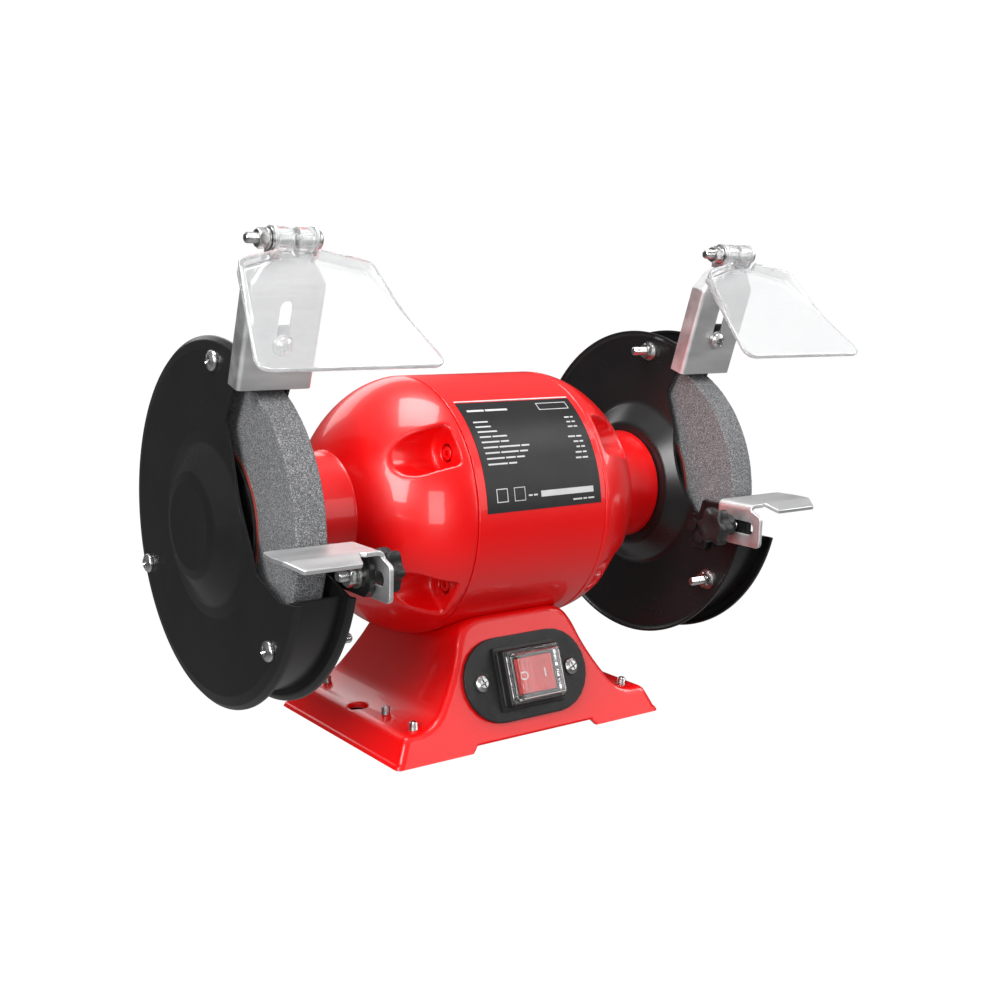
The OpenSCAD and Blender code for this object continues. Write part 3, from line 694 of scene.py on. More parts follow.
def bell_field(x, y, z):
    """A hollow bell, with a bearing seat in its neck, counterbores for the bolts and a shaft hole."""
    wall = 3.8
    bearing_r = 17.5
    counterbore_r = 4.7
    shaft_hole_r = 9.5
    radius = np.hypot(y, z - SHAFT_Z)
    body = smooth_max(bell_body(x, y, z, 0), BELL_X - x, 1.2)
    body = smooth_max(body, x - NECK_END, 1.6)
    hollow = np.maximum(bell_body(x, y, z, wall), x - NECK_X + 4)
    body = np.maximum(body, -hollow)
    seat = np.maximum(radius - bearing_r, NECK_X + 3 - x)
    body = np.maximum(body, -np.maximum(seat, x - NECK_END + 5))
    for angle in BOLT_ANGLES:
        spot = on_ring(0, BOLT_RING, angle)
        bore = np.hypot(y - spot.y, z - spot.z) - counterbore_r
        body = smooth_max(body, -np.maximum(bore, BOLT_SEAT - x), 0.8)
    return np.maximum(body, shaft_hole_r - radius)


def make_motor():
    step = 0.9
    reach = SHELL_R + 2
    corner = (BELL_X - 2, -reach, SHAFT_Z - reach)
    far = (NECK_END + 2, reach, SHAFT_Z + reach)
    for side, sign in SIDES.items():
        bell = cast(f"{side}_bell_casting", bell_field, corner, far, step)
        mirrored(bell, sign)
        finish_piece(bell, "frame", "red_paint", f"{side}_end_bell", smooth=50)
    wall = 3
    edge = 0.5
    outline = [(-SHELL_X, SHELL_R - wall), (SHELL_X, SHELL_R - wall), (SHELL_X, SHELL_R, edge),
               (-SHELL_X, SHELL_R, edge)]
    shell = lathe("shell_tube", soften(outline, 3), steps=256)
    finish_piece(shell, "frame", "red_paint", "motor_shell", smooth=30)


# Guards

def mouth_tool(name, corners):
    """What is cut from a guard disc in front of the wheel."""
    outline = soften(corners, 4)
    near, far = 100, 185
    return loft(name, [[(x, y, z) for y, z in outline] for x in (near, far)])


def make_cover(side, sign):
    x, g, t = COVER_X, GUARD_R, SHEET
    outer = [(x + 9.2, 0), (x + 9.5, 10, 8), (x + 10, 21, 6), (x + 8.9, 26, 5), (x + 0.9, 40, 6),
             (x, 46, 5), (x, g - 7, 4), (x - 1, g - 2.2, 2), (x - 3, g, 1), (x - 4.6, g, 0.4)]
    inner = [(px - t * 0.92, max(r - t * 0.25, 0), *rest) for px, r, *rest in outer[:-2]]
    inner += [(x - 3.2, g - t, 0.6), (x - 4.6, g - t, 0.4)]
    cover = lathe("cover", soften(outer + inner[::-1], 4), steps=256)
    opening = mouth_tool("opening", [(-49.1, 221.2), (-20, 169.5, 3), (-49.5, 103, 5),
                                     (-72.3, 94.7, 3), (-88, 95.6), (-130, 96.5), (-130, 240)])
    cut(cover, opening)
    round_edges(cover, 0.35)
    mirrored(cover, sign)
    cover.name = f"{side}_cover_disc"
    finish_piece(cover, "frame", "black_paint", f"{side}_guard_cover", smooth=35)


def make_inner_guard(side, sign):
    x, g, t = INNER_X, GUARD_R, SHEET
    plate = [(NECK_END, 14, 0.5), (NECK_END, 36, 5), (x, 48, 6), (x, g - 3, 2), (x - 1, g - t, 1),
             (x - 1.9, g - t, 0.4), (x - 1.9, g, 0.4), (x - 0.2, g, 2), (x + t, g - 2.6, 3),
             (x + t, 47.4, 6), (NECK_END + t, 35.4, 5), (NECK_END + t, 14, 0.5)]
    disc = lathe("disc", soften(plate, 5), steps=256)
    opening = mouth_tool("opening", [(-52.6, 225.7), (-23.5, 174, 3), (-46, 114.5, 3),
                                     (-50, 108.5, 3), (-88, 95.6, 2), (-130, 96.5), (-130, 240)])
    cut(disc, opening)
    round_edges(disc, 0.35)
    edge = 0.4
    rim = [(BAND_X - 0.2, BAND_R - t, edge), (COVER_X - t - 0.1, BAND_R - t, edge),
           (COVER_X - t - 0.1, BAND_R, edge), (BAND_X - 0.2, BAND_R, edge)]
    band = lathe("band", soften(rim, 3), start=-15.5, sweep=-285, steps=200)
    tab_low, tab_high = 2.8, 29.2
    wide = COVER_X - 3.9
    tab = sheet("tab", [soften([(BAND_X + 0.6, tab_low, 0.5), (wide, tab_low, 0.5),
                                (wide, tab_high, 3), (BAND_X + 0.6, tab_high, 3)])], 2, 0.4)
    move(tab, at(0, 2.7, 0) @ UPRIGHT)
    move(tab, bracket_frame(0))
    guard = joined(f"{side}_guard_disc", [disc, band, tab])
    mirrored(guard, sign)
    finish_piece(guard, "frame", "black_paint", f"{side}_inner_guard", smooth=35)


# Wheels

def make_wheel(side, sign):
    """A bonded wheel: a disc with worn edges and a gritty rim."""
    face = [(WHEEL_IN, 6.4), (WHEEL_IN, WHEEL_R, 1.2), (WHEEL_OUT, WHEEL_R, 1.2), (WHEEL_OUT, 6.4)]
    outline = soften(face, 3)
    rim = [p for p in outline if p[1] > WHEEL_R - 0.2]
    width = WHEEL_OUT - WHEEL_IN - 3
    rows = 14
    extra = [(WHEEL_IN + 1.5 + width * k / rows, WHEEL_R) for k in range(1, rows)]
    first = outline.index(rim[0])
    split = next(i for i in range(first, len(outline)) if outline[i][0] > WHEEL_IN + 5)
    outline = outline[:split] + extra + outline[split:]
    wheel = lathe(f"{side}_stone", outline, steps=400)
    random = np.random.default_rng(7 if side == "left" else 8)
    worn = 0.09
    centre = Vector((0, 0, SHAFT_Z * MM))
    for vertex in wheel.data.vertices:
        arm = vertex.co - centre
        arm.x = 0
        if arm.length > (WHEEL_R - 1.5) * MM:
            vertex.co -= arm.normalized() * abs(random.normal(0, worn)) * MM
    mirrored(wheel, sign)
    finish_piece(wheel, "spindle", "grey_abrasive", f"{side}_wheel", smooth=60)


# Fasteners

def threaded_rod(name, radius, length, pitch):
    """A rod up Z from 0 with a helical thread and a chamfered end."""
    around = 24
    per_turn = 5
    rows = max(2, int(length / pitch * per_turn))
    depth = 0.5 * pitch
    rings = []
    for k in range(rows + 1):
        z = length * k / rows
        ring = []
        for j in range(around):
            phase = (z / pitch - j / around) % 1
            ridge = 1 - abs(2 * phase - 1)
            r = min(radius - depth * (1 - ridge), radius - 0.9 + (length - z) * 1.2)
            a = math.tau * j / around
            ring.append((r * math.cos(a), r * math.sin(a), z))
        rings.append(ring)
    return loft(name, rings)


def pan_head(name, radius, height):
    """A pan head on z = 0 with a cross recess."""
    top = [(0, 0), (0, radius, 0.3), (height * 0.55, radius, radius * 0.5), (height, radius * 0.55, 1),
           (height, 0)]
    head = spun(name, soften(top, 5))
    arm = radius * 0.62
    for turn in (0, math.pi / 2):
        blade = [[(-arm * s, -0.5 * s, z), (arm * s, -0.5 * s, z), (arm * s, 0.5 * s, z),
                  (-arm * s, 0.5 * s, z)] for s, z in ((0.45, height - 1.5), (1, height + 0.5))]
        tool = loft("blade", blade)
        move(tool, Matrix.Rotation(turn + 0.4, 4, "Z"))
        cut(head, tool)
    return head


def hex_nut(name, corner, height, bore):
    """A chamfered nut on z = 0."""
    flat = corner * math.cos(math.pi / 6)
    around = 48
    chamfer = 0.12 * corner

    def ring(z, limit, inner=False):
        result = []
        for j in range(around):
            a = math.tau * j / around
            off = (a % (math.pi / 3)) - math.pi / 6
            r = bore if inner else min(flat / math.cos(off), limit)
            result.append((r * math.cos(a), r * math.sin(a), z))
        return result

    rings = [ring(0, 0, True), ring(0, flat * 0.98), ring(chamfer, corner),
             ring(height - chamfer, corner), ring(height, flat * 0.98), ring(height, 0, True)]
    return loft(name, rings, closed=True)


def washer(name, outer, inner, height):
    edge = 0.15
    return spun(name, soften([(0, inner), (0, outer, edge), (height, outer, edge), (height, inner)], 2))


def guard_hardware():
    """Screws through the guards, with their nuts on the motor's side."""
    places = [(sign, a) for sign in SIDES.values() for a in GUARD_SCREW_ANGLES]
    head = pan_head("head", 5, 3)
    length = COVER_X - INNER_X + 13.3
    shank = move(threaded_rod("shank", M5_R, length, M5_PITCH), DOWN)
    screw = joined("screw", [head, shank])
    spots = [outward(s, on_ring(s * COVER_X, GUARD_SCREW_R, a)) for s, a in places]
    screws = repeated("guard_screw_set", screw, spots)
    finish_piece(screws, "frame", "zinc_steel", "guard_screws")
    nut = move(hex_nut("nut", 4.7, 3.6, 2.45), at(0, 0, 1))
    disc = washer("disc", 5.6, 2.45, 1)
    pair = joined("pair", [nut, disc])
    spots = [outward(-s, on_ring(s * INNER_X, GUARD_SCREW_R, a)) for s, a in places]
    nuts = repeated("guard_nut_set", pair, spots)
    finish_piece(nuts, "frame", "zinc_steel", "guard_nuts")


def neck_hardware():
    head = pan_head("head", PAN_R, 2.8)
    spots = [outward(s, on_ring(s * (NECK_END + SHEET), NECK_SCREW_R, a))
             for s in SIDES.values() for a in NECK_SCREW_ANGLES]
    shank = move(threaded_rod("shank", M5_R, 11, M5_PITCH), DOWN)
    screws = repeated("neck_screw_set", joined("screw", [head, shank]), spots)
    finish_piece(screws, "frame", "zinc_steel", "neck_screws")


def through_bolt_hardware():
    """Painted socket-head through-bolts with their heads on the left, and nuts on the right."""
    tall = 3.2
    head = spun("head", soften([(0, 0), (0, 3.5, 0.3), (tall, 3.5, 0.5), (tall, 0)], 3))
    socket = loft("socket", [[(x, y, z) for x, y in circle(0, 0, 1.75, 6)] for z in (1.2, 4)])
    cut(head, socket)
    length = 2 * BOLT_SEAT + tall
    shank = move(threaded_rod("shank", M4_R, length, 0.7), DOWN)
    bolt = joined("bolt", [head, shank])
    spots = [outward(-1, on_ring(-BOLT_SEAT, BOLT_RING, a)) for a in BOLT_ANGLES]
    bolts = repeated("through_bolt_set", bolt, spots)
    finish_piece(bolts, "frame", "red_paint", "through_bolts")
    spots = [outward(1, on_ring(BOLT_SEAT, BOLT_RING, a)) for a in BOLT_ANGLES]
    nuts = repeated("through_bolt_nut_set", hex_nut("nut", 4.04, tall, 2.05), spots)
    finish_piece(nuts, "frame", "red_paint", "through_bolt_nuts")


def base_hardware():
    """Screws that come up through the feet, with their heads under the bottom plate."""
    base_z = low("base_plate", 2)
    length = high("base_plate_screws", 2) - base_z
    head = move(pan_head("head", PAN_R, 2.4), DOWN)
    screw = joined("screw", [head, threaded_rod("shank", M5_R, length, M5_PITCH)])
    places = ((69.6, -55), (68.5, -27.4), (68, 34))
    spots = [at(s * x, y, base_z) for s in SIDES.values() for x, y in places]
    screws = repeated("foot_screw_set", screw, spots)
    finish_piece(screws, "frame", "zinc_steel", "base_plate_screws")


# Spark brackets and eye shields. A shield's own axes start at its hinge: X along it, Y down the pane.

PANE_Z = 3.1
PANE_HALF = 1.1
PANE_TOP = 7.5
PANE_END = 76.2
SHOULDER_Y = 15.2
RIM_H = 5.2
RIM_L = 31.4
RIM_T = 2
BARREL_R = 5.5
BARREL_NEAR = 1.5
BARREL_FAR = 9
BARREL_BORE = 2.58
PANE_EDGES = [(-60, PANE_TOP, 1), (-60, PANE_END, 1), (45.8, PANE_END, 8), (31.2, SHOULDER_Y, 2),
              (12, 8.6, 1), (BARREL_FAR, PANE_TOP, 1)]


def channel_ring(half, deep, y, z, lean):
    """A U-shaped section, open at the back, at a height along the bracket."""
    t = SHEET
    outer = [(-half, deep, 0), (-half, 0, 2.2), (half, 0, 2.2), (half, deep, 0)]
    inner = [(half - t, deep, 0), (half - t, t, 0.8), (-half + t, t, 0.8), (-half + t, deep, 0)]
    section = soften(outer + inner, 4)
    return [(u, y + v * math.cos(lean), z + v * math.sin(lean)) for u, v in section]


def make_channel(x):
    """A bracket's channel, narrowing above its knee to the neck that carries the ears."""
    half, deep = 19, 9.8
    neck = 13
    y0, z0 = BRACKET_FOOT
    top_y = y0 - BRACKET_H * math.sin(LEAN)
    top_z = z0 + BRACKET_H * math.cos(LEAN)
    end_y = top_y - neck * math.sin(NECK_LEAN)
    end_z = top_z + neck * math.cos(NECK_LEAN)
    knee = 0.02
    rings = [channel_ring(half, deep, y0, z0, LEAN),
             channel_ring(half, deep, top_y - (top_y - y0) * knee, top_z - (top_z - z0) * knee, LEAN),
             channel_ring(half - 0.3, deep - 0.1, top_y, top_z + 0.4, (LEAN + NECK_LEAN) / 2),
             channel_ring(10.8, 7, end_y, end_z, NECK_LEAN)]
    body = loft("channel", rings)
    move(body, at(x, 0, 0))
    slot = slot_outline((0, 18.6), (0, 38), 3.1)
    tool = loft("slot", [[(u, y, v) for u, v in slot] for y in (-4, 4)])
    move(tool, bracket_frame(x))
    cut(body, tool)
    round_edges(body, 0.3)
    return body


def make_ear(x):
    """A lug with the hinge bolt's hole, upright across the hinge at x."""
    root = -11
    hole_r = 2.7
    outline = soften([(0.3, root), (5.5, root), (5.8, 0, 5.4), (4, 5.8, 4), (-4, 5.8, 4), (-5.8, 0, 5.4),
                      (-3.5, -5.2, 3)], 5)
    ear = sheet("ear", [outline, circle(0, 0, hole_r)], SHEET)
    return move(ear, at(x, HINGE_Y, HINGE_Z) @ Matrix.Rotation(NECK_LEAN, 4, "X") @ SIDEWAYS)


def make_bracket(side):
    x = SHIELD_X[side]
    apart = 10.05
    parts = [make_channel(x), make_ear(x - apart), make_ear(x + apart)]
    bracket = joined(f"{side}_bracket_channel", parts)
    finish_piece(bracket, f"{side}_bracket", "galvanised_steel", f"{side}_spark_bracket", smooth=35)


def convex_distance(x, y, corners):
    """Distance outside a convex outline of (x, y, rounding) corners, from its edges."""
    result = -1000.0
    for (ax, ay, blend), (bx, by, _) in zip(corners, corners[1:] + corners[:1]):
        long = math.hypot(bx - ax, by - ay)
        side = ((y - ay) * (bx - ax) - (x - ax) * (by - ay)) / long
        result = smooth_max(result, side, blend)
    return result


def shield_field(x, y, z):
    """A pane below two hinge barrels, with a rim along its roof and down its upper sides."""
    wide = np.abs(x)
    rim_lean = 0.28
    lean = np.clip(PANE_Z - z, 0, 6) * rim_lean
    plan = convex_distance(wide - lean * (y > 12), y, PANE_EDGES)
    layer = np.abs(z - PANE_Z - PANE_HALF) - PANE_HALF
    pane = smooth_max(plan, layer, 0.8)
    tall = np.clip(RIM_H * (1 - (y - SHOULDER_Y) / RIM_L), -1, RIM_H)
    wall = smooth_max(smooth_max(plan, -plan - RIM_T, 0.4), PANE_Z - tall - z, 0.8)
    wall = np.maximum(np.maximum(wall, z - PANE_Z - 0.6), BARREL_FAR - wide)
    body = smooth_min(pane, wall, 1)
    middle = (BARREL_NEAR + BARREL_FAR) / 2
    ends = np.abs(wide - middle) - (BARREL_FAR - middle)
    barrel = smooth_max(np.hypot(y, z) - BARREL_R, ends, 0.5)
    neck = np.maximum(np.maximum(ends, layer), np.abs(y - 5) - 5)
    body = smooth_min(body, smooth_min(barrel, neck, 0.3), 0.3)
    return np.maximum(body, BARREL_BORE - np.hypot(y, z))


def make_shield(side):
    step = 0.45
    hang = 220.3
    pane = cast(f"{side}_shield_pane", shield_field, (-48, -8, -6), (48, 78, 8), step)
    turn = Matrix.Rotation(math.radians(hang), 4, "X")
    move(pane, at(SHIELD_X[side], HINGE_Y, HINGE_Z) @ turn)
    finish_piece(pane, f"{side}_shield", "clear_plastic", f"{side}_eye_shield", smooth=40)


def make_hinge_bolt(side):
    place = at(SHIELD_X[side], HINGE_Y, HINGE_Z)
    head = move(pan_head("head", 4.6, 3.2), outward(1, (10.9, 0, 0)))
    shank = move(threaded_rod("shank", CLAMP_R, 34, M5_PITCH), outward(-1, (11, 0, 0)))
    parts = [head, shank]
    for x, r, tall in ((-10.9, 5.2, 1), (-12.3, 4.6, 1.1)):
        parts.append(move(washer("disc", r, 2.55, tall), outward(-1, (x, 0, 0))))
    parts.append(move(hex_nut("nut", 4.6, 4.1, 2.55), outward(-1, (-13.4, 0, 0))))
    bolt = move(joined(f"{side}_hinge_bolt_set", parts), place)
    finish_piece(bolt, f"{side}_bracket", "zinc_steel", f"{side}_hinge_bolt")


def bracket_hardware():
    spots = [bracket_frame(x) @ at(0, 0, CLAMP_Z) @ UPRIGHT for x in SHIELD_X.values()]
    head = move(pan_head("head", PAN_R, 3), at(0, 0, 1.3))
    disc = move(washer("disc", 5.2, 2.55, 1.1), at(0, 0, 0.2))
    shank = move(threaded_rod("shank", CLAMP_R, 11.3, M5_PITCH), at(0, 0, 1.3) @ DOWN)
    screws = repeated("bracket_screw_set", joined("screw", [head, disc, shank]), spots)
    finish_piece(screws, "frame", "zinc_steel", "bracket_screws")
    nut = move(hex_nut("nut", 4.6, 4, 2.55), at(0, 0, -7.7))
    nuts = repeated("bracket_nut_set", nut, spots)
    finish_piece(nuts, "frame", "zinc_steel", "bracket_nuts")


# Tool rests

def make_rest(side, sign):
    """A table with a bent-down front lip and a slotted flange, folded from one sheet."""
    inner = low("right_tool_rest", 0)
    thick = 2.2
    bend = 2.5
    start = inner + thick / 2 + bend
    arc = bend * math.pi / 2
    hem = start - arc - (REST_Z - thick / 2 - bend - low("right_tool_rest", 2))
    rear = high("right_tool_rest", 1)
    front = -108
    outline = [(164.2, rear, 2), (hem, rear, 1.5), (hem, front, 3), (start - 6.4, front, 3),
               (start - 3.6, -101, 0.8), (126, -101, 1), (129, -98.6, 0.8), (131.6, front, 1.5),
               (160, front, 1.5), (165.6, -98.5, 2.5), (166.4, -88, 5)]
    level = start - arc - (REST_Z - thick / 2 - bend - STUD_Z)
    hole = slot_outline((level, -99.5), (level, -82.7), 3.5)
    rest = sheet("rest", [soften(outline, 5), hole], thick, 0.4, 3)
    lip = 98.5
    lip_bend = 4
    lip_turn = 20
    slice_mesh(rest, [lip + math.radians(lip_turn) * lip_bend * k / 4 for k in range(5)], (0, -1, 0))
    slice_mesh(rest, [-start + arc * k / 6 for k in range(7)], (-1, 0, 0))
    fold(rest, lip, (0, -1, 0), -lip_turn, lip_bend, where=lambda p: p.x > 128)
    fold(rest, -start, (-1, 0, 0), -90, bend)
    move(rest, at(0, 0, REST_Z - thick / 2))
    mirrored(rest, sign)
    rest.name = f"{side}_rest_plate"
    finish_piece(rest, f"{side}_rest", "galvanised_steel", f"{side}_tool_rest",
                 smooth=35)


def make_arm(side, sign):
    """A flat arm with a joggle between its pad on the guard and its slotted end."""
    thick = 3
    outline = [(-50, 107, 2), (-57, 107, 3), (-60, 116.3, 3), (-93, 116.3, 4), (-97, 112, 4),
               (-97, 101, 4), (-93, 97, 4), (-68, 97, 3), (-66, 88, 3), (-54, 88, 3), (-50, 92, 3)]
    hole = slot_outline((STUD_Y + 7, STUD_Z), (STUD_Y, STUD_Z), 3.2)
    arm = sheet("arm", [soften(outline), hole], thick, 0.4, 3)
    near, far_y, shift = 61, 66, 2.8
    slice_mesh(arm, [near + (far_y - near) * k / 6 for k in range(7)], (-1, 0, 0))
    for vertex in arm.data.vertices:
        t = min(max((-vertex.co.x / MM - near) / (far_y - near), 0), 1)
        vertex.co.z -= shift * MM * t * t * (3 - 2 * t)
    move(arm, at(INNER_X - thick / 2, 0, 0) @ SIDEWAYS)
    mirrored(arm, sign)
    arm.name = f"{side}_arm_plate"
    finish_piece(arm, "frame", "black_paint", f"{side}_rest_arm", smooth=35)


def knob_field(x, y, z):
    """A six-lobed head, dished at x = 0, and a hub that ends at the rest's flange."""
    radius = np.hypot(y, z)
    lobe_r = 9.4
    lobe_h = 1.5
    head_half = 4
    lobes = lobe_r + lobe_h * np.cos(6 * np.arctan2(z, y))
    head = smooth_max(radius - lobes, np.abs(x - head_half) - head_half, 3)
    dish = np.hypot(radius, x + 9) - 10.6
    head = smooth_max(head, -dish, 1)
    hub = smooth_max(radius - 6.5 + 0.05 * x, np.abs(x - 7.4) - 6.9, 1)
    stud_hole = STUD_R - radius - 100 * (x < 3.3)
    return np.maximum(smooth_min(head, hub, 2.5), stud_hole)


def make_knob(side, sign):
    step = 0.5
    knob = cast("knob", knob_field, (-1.5, -12, -12), (16, 12, 12), step)
    move(knob, at(low("right_rest_knob", 0), STUD_Y, STUD_Z))
    mirrored(knob, sign)
    knob.name = f"{side}_knob_grip"
    finish_piece(knob, f"{side}_knob", "black_plastic", f"{side}_rest_knob", smooth=50)
    inner = low("right_rest_stud", 0)
    length = high("right_rest_stud", 0) - inner
    stud = threaded_rod("stud", STUD_R - 0.01, length, 1)
    move(stud, at(inner, STUD_Y, STUD_Z) @ ALONG_X)
    mirrored(stud, sign)
    stud.name = f"{side}_stud_thread"
    finish_piece(stud, f"{side}_knob", "zinc_steel", f"{side}_rest_stud")


def rest_hardware():
    inner = low("right_rest_arm", 0) + 3
    spots = [outward(s, (s * inner, STUD_Y, STUD_Z)) for s in SIDES.values()]
    disc = washer("disc", 6.4, 3.1, 1.2)
    nut = move(hex_nut("nut", 5.8, 4.5, 3.06), at(0, 0, 1.2))
    nuts = repeated("rest_nut_set", joined("pair", [disc, nut]), spots)
    finish_piece(nuts, "frame", "zinc_steel", "rest_nuts")


# Switch

def make_switch_panel():
    stadium = slot_outline((-18, 0), (18, 0), 22)
    window = rectangle(28.6, 25.2, 1)
    panel = sheet("switch_plate", [stadium, window], 2.5, 0.6, 3)
    move(panel, face_frame(SWITCH_X, SWITCH_Z) @ at(0, 0, 1.25))
    finish_piece(panel, "frame", "black_plastic", "switch_panel", smooth=35)
    head = move(pan_head("head", PAN_R, 2.4), at(0, 0, 2.5))
    spots = [face_frame(SWITCH_X + x, SWITCH_Z) for x in (-29.5, 29.5)]
    screws = repeated("switch_screw_set", head, spots)
    finish_piece(screws, "frame", "zinc_steel", "switch_screws")


def box_field(x, y, z, half, radius):
    dx, dy, dz = (np.abs(v) - h + radius for v, h in zip((x, y, z), half))
    outside = np.sqrt(np.maximum(dx, 0) ** 2 + np.maximum(dy, 0) ** 2 + np.maximum(dz, 0) ** 2)
    return outside + np.minimum(np.maximum(np.maximum(dx, dy), dz), 0) - radius


def housing_field(x, y, z):
    lower = box_field(x, y, z - 3.3, (20.5, 16.5, 0.8), 0.5)
    upper = box_field(x, y, z - 6.5, (18, 14.5, 3), 1.2)
    trunk = box_field(x, y, z + 8, (14, 12.3, 12), 1)
    body = np.minimum(smooth_min(lower, upper, 1), trunk)
    well = np.maximum(np.maximum(np.abs(x) - 12.2, np.abs(y) - 9.7), -6 - z)
    return smooth_max(body, -well, 0.6)


def cover_field(x, y, z):
    """A clear cap: a flange and a raised dome over the rocker."""
    flange = box_field(x, y, z - 10, (17, 13.8, 0.5), 0.4)
    dome = box_field(x, y, z - 11, (14.5, 12.2, 5), 1.6)
    body = smooth_min(flange, dome, 1.2)
    inside = box_field(x, y, z - 9.9, (13.7, 11.4, 5.3), 0.8)
    return np.maximum(np.maximum(body, -inside), 9.5 - z)


def make_switch_body():
    place = face_frame(SWITCH_X, SWITCH_Z)
    housing = cast("switch_case", housing_field, (-22, -18, -22), (22, 18, 11), 0.6)
    move(housing, place)
    finish_piece(housing, "frame", "black_plastic", "switch_housing", smooth=40)
    cap = cast("switch_cap", cover_field, (-18, -15, 8), (18, 15, 17), 0.5)
    move(cap, place)
    finish_piece(cap, "frame", "clear_plastic", "switch_cover", smooth=50, material=LENS)
    turn = Matrix.Rotation(math.radians(-10), 4, "Y")
    pivot = place @ at(0, 0, 5) @ turn
    side = soften([(-10.9, 6.4, 0.8), (-5, 4.9, 10), (0, 4.4, 12), (5, 4.9, 10), (10.9, 6.4, 0.8),
                   (10.2, -1.5, 1), (4, -3, 2), (-4, -3, 2), (-10.2, -1.5, 1)], 4)
    rocker = sheet("rocker", [side], 18.6, 0.6, 3)
    move(rocker, UPRIGHT)
    ribs = []
    for k in range(9):
        x = -9.6 + 2.4 * k
        if abs(x) > 1:
            rise = 4.55 + 0.0167 * x * x
            rib = sheet("rib", [rectangle(0.35, 16, 0.1)], 0.5, 0.15)
            ribs.append(move(rib, at(x, 0, rise)))
    pin = move(spun("pin", soften([(-11, 0), (-11, 1.2, 0.2), (11, 1.2, 0.2), (11, 0)], 2)),
               UPRIGHT)
    rocker = move(joined("rocker_key", [rocker, pin, *ribs]), pivot)
    finish_piece(rocker, "rocker", "red_plastic", "switch_rocker", smooth=35)
    ring = sheet("ring", [circle(0, 0, 2.2), circle(0, 0, 1.6)], 0.25, 0.05)
    move(ring, at(-6, 0, 5.35) @ Matrix.Rotation(0.2, 4, "Y"))
    bar = sheet("bar", [rectangle(0.7, 4.4, 0.2)], 0.25, 0.05)
    move(bar, at(6, 0, 5.35) @ Matrix.Rotation(-0.2, 4, "Y"))
    marks = move(joined("rocker_marks", [ring, bar]), pivot)
    finish_piece(marks, "rocker", "red_plastic", material=INK)


# Rating plate

def curved_panel(name, x0, x1, a0, a1, radius, thick, columns=24):
    """A thin panel on the shell between two heights, in degrees up the front."""
    outline = [(x0, radius), (x1, radius), (x1, radius + thick), (x0, radius + thick)]
    return lathe(name, outline, a0, a1 - a0, columns)


def plate_words(x, angle, widths, tall=0.7):
    """A row of short bars in place of words, starting at x."""
    level = SHELL_R + 0.25
    bars = []
    for wide in widths:
        bars.append(curved_panel("word", x, x + wide, angle, angle + tall, level, 0.05, 2))
        x += wide + 0.9
    return bars


def plate_frame(x0, x1, a0, a1, line):
    """A rectangular outline, its lines about as thick as line degrees."""
    level = SHELL_R + 0.25
    side = math.radians(line) * SHELL_R
    spans = [(x0, x1, a0, a0 + line), (x0, x1, a1 - line, a1),
             (x0, x0 + side, a0 + line, a1 - line), (x1 - side, x1, a0 + line, a1 - line)]
    return [curved_panel("line", *span, level, 0.05, 2) for span in spans]


def make_rating_plate():
    """A dark foil with rows of bars where the lettering would be."""
    x0, x1 = low("rating_plate", 0), high("rating_plate", 0)
    bottom, top = 4.4, 60.5
    foil = curved_panel("plate_foil", x0, x1, bottom, top - 4.2, SHELL_R + 0.02, 0.22)
    finish_piece(foil, "frame", "plate_label", "rating_plate", smooth=30)
    labels = [(9,), (9.5,), (12,), (7, 9), (11, 5), (9, 13, 5), (9, 11, 5), (11, 6, 5), (12, 5)]
    values = [(3.2, 1.6), (2.6, 2.2), (3.2, 2.2), (), (4.6, 3.4), (3.2, 2.4), (2.4, 2.4),
              (4, 2.4), (3.6, 3.6)]
    bars = plate_words(x0 + 4, 50.6, (10.5, 14), 1.1)
    for k, (label, value) in enumerate(zip(labels, values)):
        angle = 44.5 - 2.5 * k
        bars += plate_words(x0 + 4, angle, label)
        reach = sum(value) + 0.9 * (len(value) - 1)
        if value:
            bars += plate_words(x1 - 5 - reach, angle, value)
    bars += plate_frame(x1 - 24, x1 - 4, 49.8, 54, 0.35)
    bars += plate_frame(x0 + 6, x0 + 13, 8.6, 14.4, 0.4)
    bars += plate_frame(x0 + 17, x0 + 24, 8.6, 14.4, 0.3)
    bars.append(curved_panel("strip", x0 + 34, x1 - 5, 9.4, 12, SHELL_R + 0.25, 0.05, 2))
    bars += plate_words(x0 + 26, 10.2, (2.4, 2.4))
    bars += plate_words(x1 - 19, 6.6, (6, 2.4, 4))
    bars.append(curved_panel("strip", x0, x1, top - 3.6, top - 2.9, SHELL_R + 0.02, 0.2, 2))
    marks = joined("plate_marks", bars)
    finish_piece(marks, "frame", "plate_label", smooth=30, material=INK)


# Kept CAD nodes

def dress_nodes():
    for part in frame["record"]["subparts"]:
        obj = frame["nodes"][part["node"]]
        obj.data.materials.clear()
        obj.data.materials.append(LOOKS[part["material_slot"]])


# Studio

MIDDLE = Vector((0, 0, 0.12))


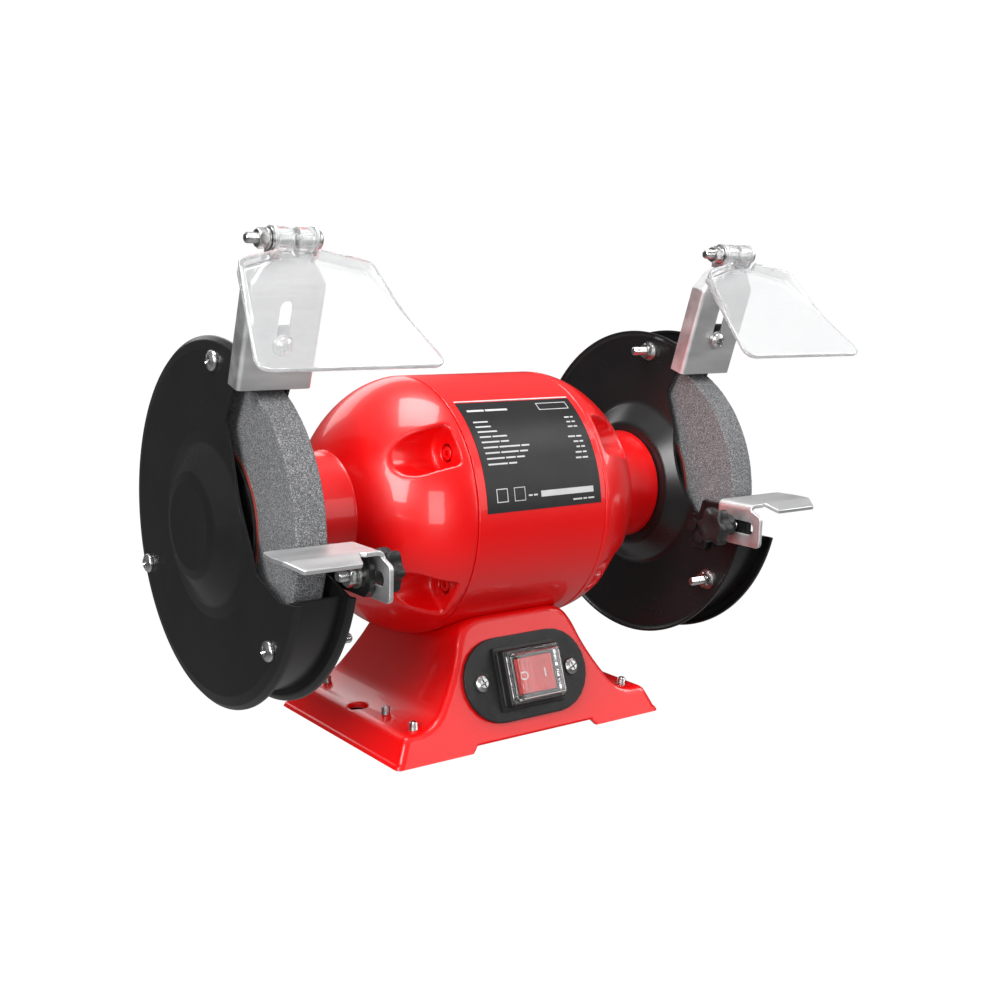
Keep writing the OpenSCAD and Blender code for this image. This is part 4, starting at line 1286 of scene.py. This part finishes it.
def make_camera():
    """The view from the front left, slightly above the shaft, with a small roll."""
    azimuth, elevation, roll = (math.radians(v) for v in (-35.92, 9.52, 1.254))
    back = Vector((math.sin(azimuth) * math.cos(elevation),
                   -math.cos(azimuth) * math.cos(elevation), math.sin(elevation)))
    right = (-back).cross(Vector((0, 0, 1))).normalized()
    up = back.cross(right)
    across = right * math.cos(roll) + up * math.sin(roll)
    rise = up * math.cos(roll) - right * math.sin(roll)
    data = bpy.data.cameras.new("camera")
    data.lens = 47.55
    data.shift_x = 0.0332
    data.shift_y = -0.0059
    data.clip_start = 0.01
    camera = add_object("camera", data)
    place = MIDDLE + back * 0.72565
    camera.matrix_world = Matrix((
        (across.x, rise.x, back.x, place.x),
        (across.y, rise.y, back.y, place.y),
        (across.z, rise.z, back.z, place.z),
        (0, 0, 0, 1)))
    bpy.context.scene.camera = camera


def add_light(name, place, size, power):
    """A softbox that faces the middle of the object."""
    data = bpy.data.lights.new(name, "AREA")
    data.shape = "RECTANGLE"
    data.size, data.size_y = size
    data.energy = power
    light = add_object(name, data)
    light.location = place
    light.rotation_mode = "QUATERNION"
    light.rotation_quaternion = (MIDDLE - Vector(place)).to_track_quat("-Z", "Y")


def make_world():
    """White behind the object, and a dim room with a lighter ceiling in its reflections."""
    world = bpy.data.worlds.new("studio")
    bpy.context.scene.world = world
    world.use_nodes = True
    tree = world.node_tree
    room = tree.nodes["Background"]
    place = add_node(tree, "TexCoord")
    parts = add_node(tree, "SeparateXYZ")
    tree.links.new(place.outputs["Generated"], parts.inputs["Vector"])
    height = add_node(tree, "MapRange")
    height.inputs["From Min"].default_value = -1
    tree.links.new(parts.outputs["Z"], height.inputs["Value"])
    light = colours(tree, height.outputs["Result"], (0.0, (0.5, 0.5, 0.5)),
                    (0.36, (0.09, 0.09, 0.09)), (0.6, (0.08, 0.08, 0.08)), (1.0, (0.5, 0.5, 0.5)))
    tree.links.new(light, room.inputs["Color"])
    white = add_node(tree, "Background")
    white.inputs["Color"].default_value = (1, 1, 1, 1)
    white.inputs["Strength"].default_value = 1.02
    path = add_node(tree, "LightPath")
    seen = add_node(tree, "Math", operation="MAXIMUM")
    tree.links.new(path.outputs["Is Camera Ray"], seen.inputs[0])
    tree.links.new(path.outputs["Is Transmission Ray"], seen.inputs[1])
    mix = add_node(tree, "MixShader")
    tree.links.new(seen.outputs["Value"], mix.inputs["Fac"])
    tree.links.new(room.outputs["Background"], mix.inputs[1])
    tree.links.new(white.outputs["Background"], mix.inputs[2])
    tree.links.new(mix.outputs["Shader"], tree.nodes["World Output"].inputs["Surface"])


def make_studio():
    scene = bpy.context.scene
    scene.view_settings.view_transform = "Standard"
    scene.view_settings.look = "None"
    make_world()
    add_light("left_softbox", (-1.5, -0.7, 0.9), (0.7, 1.1), 30)
    add_light("right_softbox", (1.5, -0.6, 1.1), (0.6, 0.9), 12)
    add_light("front_softbox", (-0.9, -1.7, 0.3), (0.5, 0.9), 9)
    add_light("fill_softbox", (1.1, -1.4, 0.6), (1.0, 1.0), 5)
    add_light("top_softbox", (-0.1, 0.1, 1.6), (0.9, 0.8), 21)
    add_light("back_softbox", (0.3, 1.6, 0.9), (1.4, 0.6), 5)


make_camera()
make_studio()
dress_nodes()
make_base()
make_motor()
make_rating_plate()
for side, sign in SIDES.items():
    make_cover(side, sign)
    make_inner_guard(side, sign)
    make_wheel(side, sign)
    make_bracket(side)
    make_shield(side)
    make_hinge_bolt(side)
    make_rest(side, sign)
    make_arm(side, sign)
    make_knob(side, sign)
guard_hardware()
neck_hardware()
through_bolt_hardware()
base_hardware()
bracket_hardware()
rest_hardware()
make_switch_panel()
make_switch_body()

bpy.context.view_layer.update()
